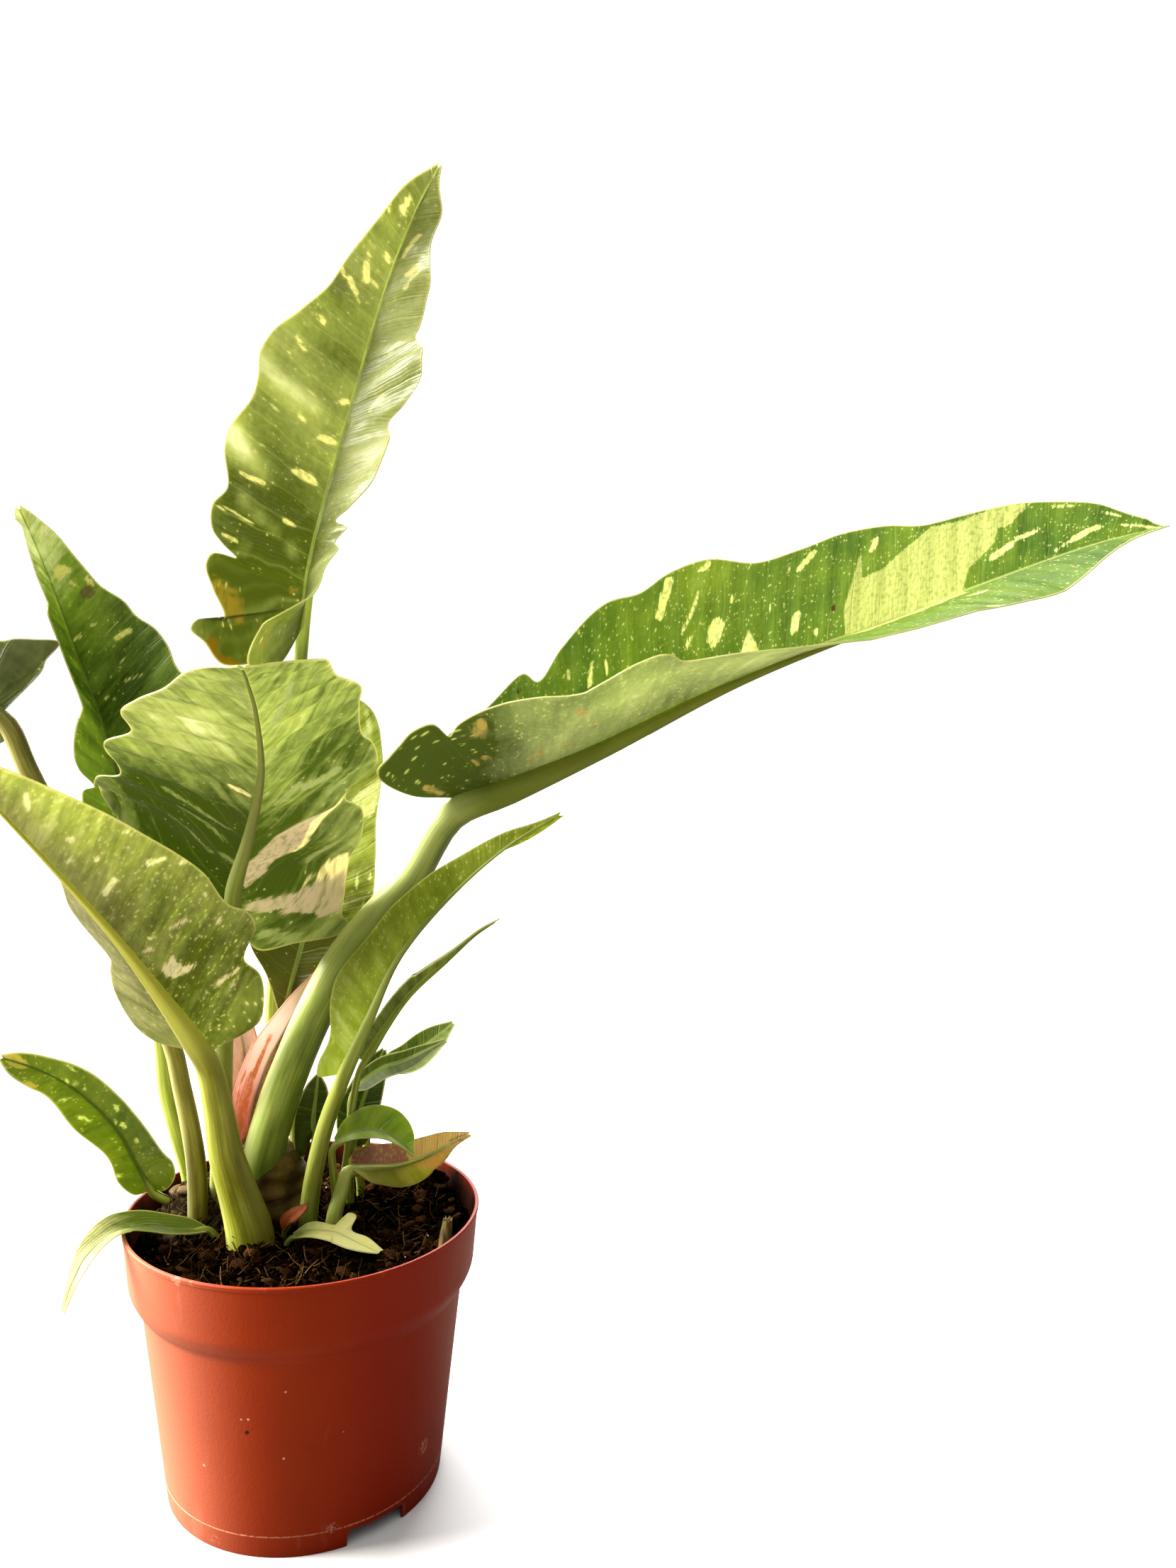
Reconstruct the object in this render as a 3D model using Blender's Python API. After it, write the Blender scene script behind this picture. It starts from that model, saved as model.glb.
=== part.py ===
"""A variegated ring of fire philodendron growing in a round plastic nursery pot.

Every leaf is one solid: a thin folded blade joined to its stem, whose foot stands in a
plain socket in the stem base or in the soil. Tables are in millimetres, Z is up, and the
origin is the centre of the pot's underside, on the surface that the pot stands on.
"""
import math
from dataclasses import dataclass

import bpy
import numpy as np

MM = 0.001
GAP = 0.3               # clearance between two pieces that touch

# Pot: a 15 cm injection-moulded nursery pot
RIM_RADIUS = 75.0
POT_HEIGHT = 118.4
POT_WALL = 1.4
BAND_FOOT_RADIUS = 72.6
WALL_TOP_RADIUS = 67.6
BAND_UNDERSIDE = 93.2   # the sloped underside of the band ends at these levels
BAND_CREASE = 88.4
WALL_TOP = 85.2
FOOT_RADIUS = 58.4
GUTTER_HEIGHT = 8.0     # the outer ring of the floor is raised this far
PAD_RADIUS = 37.0       # the middle of the floor rests on the table
NOTCH_WIDTH = 26.0
NOTCH_HEIGHT = 7.0
NOTCH_AZIMUTHS = (-62.0, 58.0, 178.0)
DRAIN_RADIUS = 3.6
ROUND_SIDES = 36

# Soil
SOIL_LEVEL = 104.5
SOIL_EDGE_LEVEL = 102.5
# Rises of the surface: x, y, height, spread
SOIL_LUMPS = (
    (-47.0, 27.0, 15.0, 15.0),
    (-30.0, 44.0, 9.0, 14.0),
    (60.0, 27.0, 11.0, 8.0),
    (34.0, -34.0, 3.0, 14.0),
    (-20.0, -42.0, 2.5, 12.0),
    (30.0, 40.0, 4.0, 18.0),
)

# Stem base that the big leaves grow from: centre, half widths, top and bottom
CROWN_CENTRE = (-17.0, 21.0)
CROWN_HALF = (17.0, 19.0)
CROWN_TOP = 137.0
CROWN_BOTTOM = 92.0

BLADE = 0.8             # blade thickness
TIP_HALF_WIDTH = 0.9
FULL_FOLD_REACH = 7.0   # towards the tip, a blade narrower than this is folded less
VEIN_SLANT = 0.6        # forward run of a side vein for each step outward
VEIN_SPREAD = 0.2       # how evenly the side veins are spread along the midrib
LAST_VEIN = 0.99        # share of the midrib where the last side vein starts
# Sides and rings of a stem and its midrib, for plain and for fine blades
STEM_SIDES = {1: 6, 2: 8}
STEM_STEPS = {1: 8, 2: 15}
SOCKET_GAP = 0.36       # keeps the clearance on the flats of a stem's sides


@dataclass
class Leaf:
    """One leaf. Left and right are as seen on its upper face with the tip up."""
    name: str
    material: str
    stem: list          # x, y, z, radius from the socket up to the blade
    spine: list         # x, y, z along the midrib from blade base to tip
    face: list          # directions that the upper face looks in, base to tip
    left: list          # margin: share of the spine, distance from it
    right: list
    fold_left: list     # share of the spine, degrees that this half is folded up
    fold_right: list
    rib: float = 0.0    # radius of the midrib at the blade base
    ripple: tuple = (0.0, 0.0, 0.0)     # height, waves, phase of the wavy margin
    rows: int = 12           # about this many veins
    columns: int = 1


LEAVES = [
    Leaf(
        name="leaf_tall", material="leaf_green",
        stem=[(-14, 32, 118, 5.0), (-14, 36, 142, 4.8), (-13, 38, 196, 4.2),
              (-7, 37, 269, 3.7), (-1, 32, 352, 3.2)],
        spine=[(0, 30, 369), (4, 28, 397), (13, 30, 434), (22, 34, 466),
               (33, 40, 505), (42, 42, 533), (52, 40, 557), (61, 34, 574)],
        face=[(-0.2, -1.0, 0.1)],
        left=[(-0.02, 3), (-0.07, 11), (-0.10, 31), (-0.06, 40), (-0.04, 46),
              (-0.02, 44), (-0.01, 33), (0.05, 39), (0.09, 43), (0.11, 41),
              (0.11, 31), (0.13, 38), (0.15, 43), (0.19, 45), (0.23, 41),
              (0.30, 46), (0.34, 46), (0.40, 41), (0.45, 41), (0.51, 43),
              (0.56, 40), (0.61, 32), (0.68, 24), (0.75, 20), (0.84, 14),
              (0.93, 9), (1.0, 1)],
        right=[(-0.02, 3), (-0.09, 14), (-0.09, 30), (-0.02, 39), (0.08, 43), (0.12, 32),
               (0.15, 32), (0.173, 18), (0.2, 24), (0.215, 14), (0.24, 22), (0.286, 31),
               (0.342, 33), (0.391, 29), (0.433, 22), (0.471, 29), (0.52, 37), (0.572, 36),
               (0.596, 30), (0.629, 24), (0.703, 21), (0.759, 21), (0.854, 14), (0.922, 11),
               (0.966, 4), (1, 1)],
        fold_left=[(0.0, 15), (0.2, 12), (0.5, 18), (1.0, 20)],
        fold_right=[(-0.1, 118), (0.0, 98), (0.07, 72), (0.15, 60), (0.3, 41),
                    (0.45, 34), (0.55, 38), (0.65, 25), (1.0, 15)],
        rib=2.6, ripple=(3.0, 4.0, 0.6), rows=23, columns=2),
    Leaf(
        name="leaf_front", material="leaf_underside",
        stem=[(-37, 25, 96, 4.6), (-37, 24, 118, 4.6), (-36, 20, 139, 4.5),
              (-35, 14, 160, 4.3), (-34, 7, 184, 4.2), (-32, -4, 214, 4.0),
              (-28, -14, 244, 3.8)],
        spine=[(-28, -16, 250), (-25, -30, 271), (-20, -44, 285), (-15, -72, 306),
               (-14, -98, 321), (-14, -128, 333), (-15, -162, 343), (-15, -205, 348)],
        face=[(0.2, 1.0, 0.0), (0.1, 0.8, 0.5), (0.0, 0.4, 0.9), (0.0, 0.1, 1.0)],
        left=[(-0.026, 3), (-0.11, 13), (-0.11, 29), (-0.11, 48), (-0.09, 54),
              (-0.06, 49), (-0.02, 48), (0.12, 49), (0.18, 49), (0.22, 46),
              (0.25, 38), (0.27, 38), (0.30, 45), (0.32, 49), (0.37, 46),
              (0.40, 41), (0.52, 37), (0.60, 36), (0.70, 27), (0.86, 22),
              (0.96, 12), (1.0, 1)],
        right=[(-0.025, 3), (-0.129, 17), (-0.06, 23), (0.064, 36), (0.119, 47), (0.157, 58),
               (0.257, 58), (0.293, 50), (0.457, 52), (0.512, 42), (0.614, 42), (0.683, 35),
               (0.746, 25), (0.93, 10), (1, 1)],
        fold_left=[(0.0, 36), (0.4, 34), (0.6, 25), (1.0, 10)],
        fold_right=[(0.0, 0), (0.3, 2), (1.0, 8)],
        rib=3.2, rows=18, columns=2),
    Leaf(
        name="leaf_left", material="leaf_underside",
        stem=[(-23, -7, 94, 10.2), (-23, -7, 110, 10.0), (-27, -8, 127, 8.4),
              (-32, -11, 147, 7.2), (-35, -15, 170, 6.0), (-38, -20, 188, 5.2)],
        spine=[(-39, -22, 195), (-52, -40, 222), (-67, -62, 252), (-81, -88, 279),
               (-92, -115, 302), (-100, -140, 322)],
        face=[(0.2, 1.0, -0.1), (0.2, 1.0, 0.2), (0.2, 1.0, 0.3)],
        left=[(-0.01, 3), (-0.02, 23), (0.02, 29), (0.10, 34), (0.16, 32),
              (0.18, 34), (0.22, 42), (0.27, 43), (0.31, 39), (0.34, 38),
              (0.42, 38), (0.50, 35), (0.58, 31), (0.68, 26), (0.78, 20),
              (0.88, 13), (0.95, 7), (1.0, 1)],
        right=[(-0.008, 3), (0.0, 12), (0.011, 24), (0.05, 31), (0.144, 33), (0.22, 28),
               (0.27, 22), (0.295, 23), (0.384, 31), (0.48, 28), (0.6, 26), (0.75, 18),
               (0.88, 10), (0.95, 6), (1, 1)],
        fold_left=[(0.0, 22)],
        fold_right=[(0.0, 32), (0.2, 40), (0.4, 47), (0.55, 60), (1.0, 66)],
        rib=4.6, rows=18, columns=2),
    Leaf(
        name="leaf_back", material="leaf_green",
        stem=[(-48, 34, 100, 4.6), (-50, 34, 122, 4.6), (-55, 34, 142, 4.4),
              (-60, 37, 162, 4.2), (-62, 41, 181, 4.0), (-70, 50, 235, 3.5),
              (-77, 57, 268, 3.2)],
        spine=[(-78, 58, 275), (-83, 64, 299), (-92, 74, 330), (-99, 78, 349),
               (-111, 80, 385), (-118, 78, 405), (-124, 74, 422)],
        face=[(-0.2, -1.0, 0.1)],
        left=[(-0.008, 3), (0.02, 10), (0.062, 21), (0.096, 23), (0.124, 22), (0.138, 15),
              (0.182, 23), (0.233, 26), (0.299, 25), (0.362, 20), (0.404, 20), (0.507, 21),
              (0.593, 22), (0.669, 23), (0.709, 17), (0.789, 18), (0.86, 15), (0.93, 9),
              (1, 1)],
        right=[(-0.02, 3), (-0.08, 16), (-0.05, 27), (0.05, 42), (0.15, 50),
               (0.26, 50), (0.35, 48), (0.40, 45), (0.46, 45), (0.54, 42),
               (0.60, 35), (0.65, 32), (0.72, 23), (0.78, 19), (0.83, 16),
               (0.90, 12), (0.96, 6), (1.0, 1)],
        fold_left=[(0.0, 60), (0.2, 72), (0.36, 92), (1.0, 95)],
        fold_right=[(0.0, 15)],
        rib=2.4, rows=18, columns=2),
    Leaf(
        name="leaf_long", material="leaf_green",
        stem=[(-18, 13, 122, 9.0), (-18, 12, 135, 9.0), (-11, 9, 162, 8.6),
              (-5, 6, 179, 8.3), (4, 3, 201, 8.2), (18, 0, 228, 7.8),
              (45, -4, 261, 7.2), (62, -7, 288, 6.8)],
        spine=[(67, -8, 296), (113, -16, 314), (160, -25, 338), (210, -36, 360),
               (244, -44, 373), (285, -53, 390), (331, -60, 407), (364, -65, 416)],
        face=[(-0.1, -0.05, 1.0)],
        left=[(-0.015, 3), (-0.04, 11), (-0.05, 22), (0.0, 29), (0.06, 34), (0.135, 43),
              (0.15, 37), (0.205, 46), (0.283, 55), (0.325, 53), (0.371, 57), (0.425, 57),
              (0.481, 48), (0.538, 48), (0.606, 50), (0.668, 47), (0.712, 41), (0.774, 39),
              (0.846, 36), (0.897, 30), (0.939, 23), (0.962, 14), (1, 1)],
        right=[(-0.02, 3), (-0.06, 11), (-0.086, 24), (-0.086, 30), (-0.064, 35), (-0.045, 39),
               (-0.025, 43), (0.003, 43), (0.015, 35), (0.03, 40), (0.068, 46), (0.143, 51),
               (0.187, 51), (0.228, 55), (0.274, 60), (0.31, 59), (0.325, 50), (0.39, 51),
               (0.46, 50), (0.54, 50), (0.55, 45), (0.61, 43), (0.7, 40), (0.743, 36),
               (0.782, 33), (0.834, 25), (0.89, 14), (0.93, 7), (1, 1)],
        fold_left=[(0.0, 60), (0.15, 68), (0.3, 70), (0.5, 60), (0.75, 48), (1.0, 40)],
        fold_right=[(0.0, 56), (0.1, 45), (0.2, 31), (0.3, 27), (0.35, 21),
                    (0.45, 10), (0.55, 0), (0.68, -6), (0.8, -20), (1.0, -20)],
        rib=6.2, rows=23, columns=2),
    Leaf(
        name="leaf_side", material="leaf_shaded",
        stem=[(-46, 14, 98, 4.4), (-46, 14, 132, 4.3), (-48, 14, 149, 4.2),
              (-52, 15, 170, 4.0), (-56, 17, 188, 3.9), (-77, 22, 229, 4.0),
              (-100, 28, 277, 4.3), (-114, 32, 306, 4.3), (-122, 34, 325, 4.1)],
        spine=[(-124, 34, 330), (-143, 40, 343), (-162, 44, 358), (-181, 46, 375),
               (-200, 45, 396), (-218, 42, 420)],
        face=[(0.2, 1.0, 0.3)],
        left=[(-0.004, 4), (-0.02, 24), (-0.01, 28), (-0.01, 38), (0.06, 33),
              (0.11, 29), (0.16, 24), (0.28, 30),
              (0.42, 33), (0.58, 29), (0.74, 20), (0.89, 9), (1.0, 1)],
        right=[(-0.01, 3), (-0.03, 14), (0.06, 28), (0.22, 36), (0.42, 36),
               (0.62, 28), (0.80, 17), (0.92, 8), (1.0, 1)],
        fold_left=[(0.0, 25)],
        fold_right=[(0.0, 25)],
        rib=2.8, rows=14, columns=2),
    Leaf(
        name="leaf_low", material="leaf_green",
        stem=[(-50, 27, 96, 2.2), (-53, 26, 108, 2.2), (-59, 25, 114, 2.1),
              (-65, 24, 119, 2.0)],
        spine=[(-66, 24, 121), (-72, 22, 134), (-77, 18, 148), (-85, 12, 162),
               (-94, 6, 174), (-105, 0, 184), (-120, -4, 192)],
        face=[(-0.2, -1.0, 0.1), (-0.2, -1.0, 0.4)],
        left=[(0.0, 2), (0.02, 7), (0.113, 10), (0.202, 9), (0.516, 12), (0.76, 8), (0.85, 8),
              (0.93, 6), (1, 1)],
        right=[(-0.008, 2), (-0.02, 6), (0.042, 16), (0.134, 19), (0.333, 14), (0.532, 13),
               (0.702, 11), (0.836, 7), (0.94, 4), (1, 1)],
        fold_left=[(0.0, 25)],
        fold_right=[(0.0, 25)],
        rib=1.6, rows=10, columns=2),
    Leaf(
        name="leaf_narrow", material="leaf_green",
        stem=[(1, 4, 94, 4.3), (1, 4, 108, 4.2), (4, 0, 133, 3.9), (9, -6, 156, 3.6),
              (15, -12, 175, 3.2)],
        spine=[(17, -14, 180), (23, -20, 196), (31, -26, 216), (39, -31, 234),
               (50, -35, 248), (65, -38, 265), (80, -40, 278), (104, -40, 292)],
        face=[(0.2, 1.0, -0.1)],
        left=[(0.0, 2), (0.01, 8), (0.06, 12), (0.17, 17), (0.3, 18), (0.45, 16),
              (0.6, 13), (0.75, 8), (0.88, 4), (1.0, 1)],
        right=[(-0.014, 2), (-0.06, 11), (-0.03, 13), (0.07, 13), (0.17, 19),
               (0.25, 21), (0.40, 16), (0.49, 16), (0.61, 13.5), (0.71, 9.5),
               (0.84, 5.5), (0.92, 2.5), (1.0, 1)],
        fold_left=[(0.0, 100)],
        fold_right=[(0.0, 15)],
        rib=2.6, rows=11, columns=2),
    Leaf(
        name="leaf_upright", material="leaf_young",
        stem=[(-3, 25, 118, 2.8), (-4, 26, 140, 2.8), (-7, 27, 168, 2.7),
              (-9, 27, 189, 2.6)],
        spine=[(-9, 26, 195), (-6, 24, 208), (-1, 22, 227), (4, 20, 249),
               (7, 20, 273), (8, 20, 298), (7, 20, 323), (4, 20, 344)],
        face=[(-0.2, -1.0, 0.1)],
        left=[(0.0, 2), (0.09, 9), (0.13, 13), (0.20, 22), (0.29, 26), (0.51, 32),
              (0.73, 30), (0.90, 20), (0.97, 9), (1.0, 1)],
        right=[(0.0, 2), (0.091, 8), (0.232, 15), (0.308, 17), (0.378, 26), (0.5, 26),
               (0.606, 25), (0.711, 27), (0.787, 28), (0.9, 25), (0.96, 14), (1, 1)],
        fold_left=[(0.0, 40), (0.12, 30), (0.25, 8), (1.0, 8)],
        fold_right=[(0.0, 40), (0.12, 30), (0.25, 8), (1.0, 8)],
        rib=2.0, rows=11, columns=2),
    Leaf(
        name="leaf_sliver", material="leaf_shaded",
        stem=[(14, 18, 96, 1.8), (14, 18, 104, 1.8), (18, 14, 131, 1.7),
              (21, 10, 160, 1.6), (24, 7, 175, 1.5)],
        spine=[(25, 6, 179), (35, 4, 195), (48, 2, 212), (63, 0, 225), (76, -2, 237),
               (84, -4, 242)],
        face=[(-0.7, 0.2, 0.7)],
        left=[(0.0, 2), (0.06, 5), (0.3, 6.5), (0.6, 5), (0.85, 2.5), (1, 1)],
        right=[(0.0, 2), (0.06, 5), (0.3, 6.5), (0.6, 5), (0.85, 2.5), (1, 1)],
        fold_left=[(0.0, 55)],
        fold_right=[(0.0, 55)],
        rib=1.2, rows=8),
    Leaf(
        name="leaf_right_lower", material="leaf_shaded",
        stem=[(20, 22, 96, 1.8), (20, 22, 120, 1.8), (20, 21, 145, 1.6),
              (21, 19, 159, 1.5)],
        spine=[(22, 18, 163), (34, 15, 172), (44, 12, 176), (53, 9, 181), (62, 6, 186)],
        face=[(-0.3, -0.8, 0.7)],
        left=[(0.0, 2), (0.1, 4), (0.35, 5), (0.65, 4), (0.88, 2), (1.0, 1)],
        right=[(0.0, 2), (0.1, 5), (0.35, 6), (0.65, 5), (0.88, 2), (1.0, 1)],
        fold_left=[(0.0, 30)],
        fold_right=[(0.0, 10)],
        rib=1.2, rows=8),
    Leaf(
        name="leaf_right_upper", material="leaf_green",
        stem=[(28, 42, 96, 1.8), (28, 41, 120, 1.8), (30, 40, 148, 1.6),
              (34, 39, 163, 1.5)],
        spine=[(36, 38, 167), (47, 38, 169), (56, 38, 175), (64, 38, 181), (69, 38, 185)],
        face=[(-0.3, -0.9, 0.6)],
        left=[(0.0, 2), (0.1, 5), (0.4, 7), (0.7, 6), (0.9, 3), (1.0, 1)],
        right=[(0.0, 2), (0.1, 6), (0.4, 9), (0.7, 7), (0.9, 3), (1.0, 1)],
        fold_left=[(0.0, 15)],
        fold_right=[(0.0, 15)],
        rib=1.2, rows=8),
    Leaf(
        name="leaf_right_dark", material="leaf_green",
        stem=[(25, 31, 96, 2.0), (25, 30, 112, 2.0), (23, 27, 129, 1.8)],
        spine=[(22, 26, 133), (24, 26, 146), (28, 27, 159), (33, 28, 171), (36, 29, 177)],
        face=[(-0.3, -1.0, 0.0)],
        left=[(0.0, 2), (0.06, 7), (0.3, 10), (0.6, 8), (0.85, 5), (1.0, 1)],
        right=[(0.0, 2), (0.06, 6), (0.3, 9), (0.6, 8), (0.85, 5), (1.0, 1)],
        fold_left=[(0.0, 10)],
        fold_right=[(0.0, 15)],
        rib=1.4, rows=8),
    Leaf(
        name="leaf_right_round", material="leaf_young",
        stem=[(14, 8, 96, 2.0), (14, 8, 110, 2.0), (12, 6, 130, 1.8), (12, 4, 141, 1.6)],
        spine=[(13, 3, 144), (21, 2, 148), (32, 4, 147), (41, 7, 141), (48, 10, 133)],
        face=[(0.1, -0.5, 1.0), (0.4, -0.4, 0.9)],
        left=[(0.0, 2), (0.15, 8), (0.4, 14), (0.7, 15), (0.9, 9), (1.0, 1)],
        right=[(0.0, 2), (0.15, 5), (0.4, 7), (0.7, 7), (0.9, 4), (1.0, 1)],
        fold_left=[(0.0, 30)],
        fold_right=[(0.0, 20)],
        rib=1.2, rows=8),
    Leaf(
        name="leaf_yellowing", material="leaf_dry",
        stem=[(12, -3, 96, 3.6), (12, -3, 112, 3.4), (15, 0, 122, 3.2), (18, 3, 130, 2.8)],
        spine=[(19, 4, 132), (29, 10, 129), (43, 20, 125), (58, 28, 126), (67, 32, 129),
               (77, 36, 131)],
        face=[(-0.4, -0.3, 1.0), (0.1, -0.9, 1)],
        left=[(0.0, 3), (0.08, 8), (0.3, 11), (0.55, 10), (0.75, 8), (0.9, 4), (1.0, 1)],
        right=[(0.0, 3), (0.08, 6), (0.3, 9), (0.55, 10), (0.7, 7), (0.85, 3), (1.0, 1)],
        fold_left=[(0.0, 45), (0.6, 20), (1.0, 10)],
        fold_right=[(0.0, 20)],
        rib=2.2, rows=9),
    Leaf(
        name="leaf_behind", material="leaf_shaded",
        stem=[(4, 20, 96, 1.5), (4, 20, 125, 1.4), (4, 18, 141, 1.3)],
        spine=[(4, 17, 144), (4, 15, 152), (5, 13, 162), (6, 12, 172)],
        face=[(-0.2, -1.0, 0.1)],
        left=[(0.0, 2), (0.15, 6), (0.45, 8), (0.8, 5), (1.0, 1)],
        right=[(0.0, 2), (0.15, 6), (0.45, 8), (0.8, 5), (1.0, 1)],
        fold_left=[(0.0, 20)],
        fold_right=[(0.0, 20)],
        rib=1.0, rows=7),
    Leaf(
        name="leaf_over_rim", material="leaf_cream",
        stem=[(-35, 4, 98, 1.8), (-38, 4, 106, 1.7), (-41, 4, 109, 1.5)],
        spine=[(-42, 4, 110), (-55, 0, 116), (-67, -8, 121), (-76, -18, 122),
               (-83, -28, 118), (-88, -34, 110), (-92, -38, 99)],
        face=[(-0.1, -0.5, 1.0), (-0.3, -0.8, 1.0), (-0.8, -0.9, 0.4)],
        left=[(0.0, 2), (0.08, 4), (0.25, 6), (0.5, 6), (0.75, 4), (0.9, 2), (1.0, 1)],
        right=[(0.0, 2), (0.08, 5), (0.25, 7), (0.5, 8), (0.75, 5), (0.9, 2.5), (1.0, 1)],
        fold_left=[(0.0, 25)],
        fold_right=[(0.0, 15)],
        rib=1.1, rows=10),
    Leaf(
        name="leaf_on_soil", material="leaf_cream",
        stem=[(-10, -10, 98, 1.3), (-8, -11, 106, 1.3), (-6, -12, 109, 1.2)],
        spine=[(-5, -12, 110), (2, -15, 113), (11, -19, 113), (20, -24, 111), (31, -30, 108)],
        face=[(-0.1, -0.5, 1.0)],
        left=[(0.0, 1.5), (0.2, 4), (0.45, 4), (0.5, 10), (0.58, 10), (0.6, 4), (0.8, 3.5),
              (1.0, 1)],
        right=[(0.0, 1.5), (0.2, 4), (0.45, 5), (0.7, 5), (0.88, 3), (1.0, 1)],
        fold_left=[(0.0, 15)],
        fold_right=[(0.0, 15)],
        rib=0.9, rows=9),
    Leaf(
        name="sheath_pink", material="sheath_pink",
        stem=[(-27, 22, 124, 1.6), (-26, 21, 134, 1.6), (-25, 20, 141, 1.4)],
        spine=[(-24, 19.5, 144), (-22, 19.5, 158), (-15, 18.5, 178), (-4, 16.5, 199),
               (5, 14.5, 213), (12, 12, 225)],
        face=[(0.0, -1.0, 0.1)],
        left=[(0.0, 2), (0.08, 7), (0.25, 9), (0.42, 10), (0.6, 8), (0.78, 5), (0.9, 2.5),
              (1.0, 1)],
        right=[(0.0, 2), (0.1, 5), (0.3, 6), (0.5, 5), (0.7, 3), (0.88, 1.5), (1.0, 1)],
        fold_left=[(0.0, 20)],
        fold_right=[(0.0, 0)],
        rib=1.0, rows=7, columns=2),
    Leaf(
        name="sheath_brown", material="sheath_brown",
        stem=[(-26, 37, 120, 1.8), (-26, 37, 132, 1.7), (-26, 35, 140, 1.5)],
        spine=[(-26, 34, 143), (-26, 33, 163), (-27, 31, 184), (-31, 28, 204)],
        face=[(0.0, -1.0, 0.1)],
        left=[(0.0, 2), (0.1, 8), (0.4, 10), (0.75, 8), (0.9, 5), (1.0, 1)],
        right=[(0.0, 2), (0.1, 6), (0.4, 7), (0.75, 6), (0.9, 4), (1.0, 1)],
        fold_left=[(0.0, 20)],
        fold_right=[(0.0, 5)],
        rib=1.0, rows=7, columns=2),
    Leaf(
        name="bract_red", material="bract_red",
        stem=[(-9, -1, 96, 1.2), (-9, -2, 107, 1.2)],
        spine=[(-9, -2.5, 109), (-7, -4, 113), (-2, -6, 118), (1, -7, 121)],
        face=[(-0.4, -0.8, 1)],
        left=[(0.0, 1.4), (0.25, 4), (0.6, 3.5), (0.85, 2), (1.0, 1)],
        right=[(0.0, 1.4), (0.25, 4), (0.6, 3.5), (0.85, 2), (1.0, 1)],
        fold_left=[(0.0, 40)],
        fold_right=[(0.0, 40)],
        rib=0.8, rows=7),
]

# Root stub that stands out of the soil near the rim: x, y, z, radius
ROOT_STUB = [(57, -23, 97, 2.6), (58, -24, 108, 2.5), (59, -24, 117, 2.0)]

# Slot name: base colour, roughness
MATERIALS = {
    "pot_terracotta": ((0.52, 0.10, 0.045), 0.5),
    "soil_dark": ((0.035, 0.020, 0.012), 0.95),
    "crown_bark": ((0.16, 0.11, 0.04), 0.8),
    "leaf_green": ((0.13, 0.24, 0.03), 0.45),
    "leaf_underside": ((0.22, 0.30, 0.08), 0.55),
    "leaf_shaded": ((0.07, 0.09, 0.03), 0.5),
    "leaf_young": ((0.28, 0.42, 0.05), 0.45),
    "leaf_cream": ((0.66, 0.68, 0.32), 0.5),
    "leaf_dry": ((0.50, 0.36, 0.14), 0.7),
    "sheath_pink": ((0.66, 0.27, 0.20), 0.5),
    "sheath_brown": ((0.28, 0.13, 0.07), 0.6),
    "bract_red": ((0.30, 0.07, 0.03), 0.7),
    "root": ((0.32, 0.24, 0.12), 0.85),
}


def unit(vectors):
    """Vectors scaled to length one."""
    vectors = np.asarray(vectors, float)
    return vectors / np.linalg.norm(vectors, axis=-1, keepdims=True)


def curve_at(points, places):
    """Points of the Catmull-Rom curve; place 2.5 is halfway from point 2 to point 3."""
    points = np.asarray(points, float)
    ends = np.vstack([2 * points[0] - points[1], points, 2 * points[-1] - points[-2]])
    places = np.asarray(places, float)
    stretch = np.clip(places.astype(int), 0, len(points) - 2)
    before, start, end, after = (ends[stretch + i] for i in range(4))
    knots = [np.zeros((len(places), 1))]
    for a, b in ((before, start), (start, end), (end, after)):
        gap = np.sqrt(np.maximum(np.linalg.norm(b - a, axis=1, keepdims=True), 1e-9))
        knots.append(knots[-1] + gap)
    at = knots[1] + (places - stretch)[:, None] * (knots[2] - knots[1])

    def blend(a, b, low, high):
        share = (at - knots[low]) / (knots[high] - knots[low])
        return a * (1 - share) + b * share

    first = blend(before, start, 0, 1)
    second = blend(start, end, 1, 2)
    third = blend(end, after, 2, 3)
    return blend(blend(first, second, 0, 2), blend(second, third, 1, 3), 1, 2)


def along(points, least):
    """Points of the curve through the points, in at least the given number of steps."""
    lengths = np.linalg.norm(np.diff(np.array(points, float)[:, :3], axis=0), axis=1)
    steps = np.maximum(1, np.round(least * lengths / lengths.sum())).astype(int)
    places = [i + np.arange(count) / count for i, count in enumerate(steps)]
    return curve_at(points, np.concatenate([*places, [len(points) - 1]]))


class Spine:
    """The midrib's curve with its own forward, face and side directions."""

    def __init__(self, leaf):
        self.points = along(leaf.spine, 120)
        steps = np.linalg.norm(np.diff(self.points, axis=0), axis=1)
        self.length = steps.sum()
        self.share = np.concatenate([[0.0], np.cumsum(steps)]) / self.length
        self.forward = unit(np.gradient(self.points, self.share, axis=0))
        looks = unit(leaf.face)
        keys = np.linspace(0.0, 1.0, len(looks))
        face = np.stack([np.interp(self.share, keys, looks[:, i]) for i in range(3)], -1)
        lean = (face * self.forward).sum(1, keepdims=True)
        self.face = unit(face - lean * self.forward)

    def at(self, share):
        """Place, forward, face and rightward directions at shares of the length."""
        share = np.asarray(share, float)
        inside = np.clip(share, 0.0, 1.0)

        def read(field):
            return np.stack([np.interp(inside, self.share, field[:, i])
                             for i in range(3)], -1)

        forward = unit(read(self.forward))
        face = unit(read(self.face))
        place = read(self.points) + forward * ((share - inside) * self.length)[..., None]
        return place, forward, face, unit(np.cross(forward, face))


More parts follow.
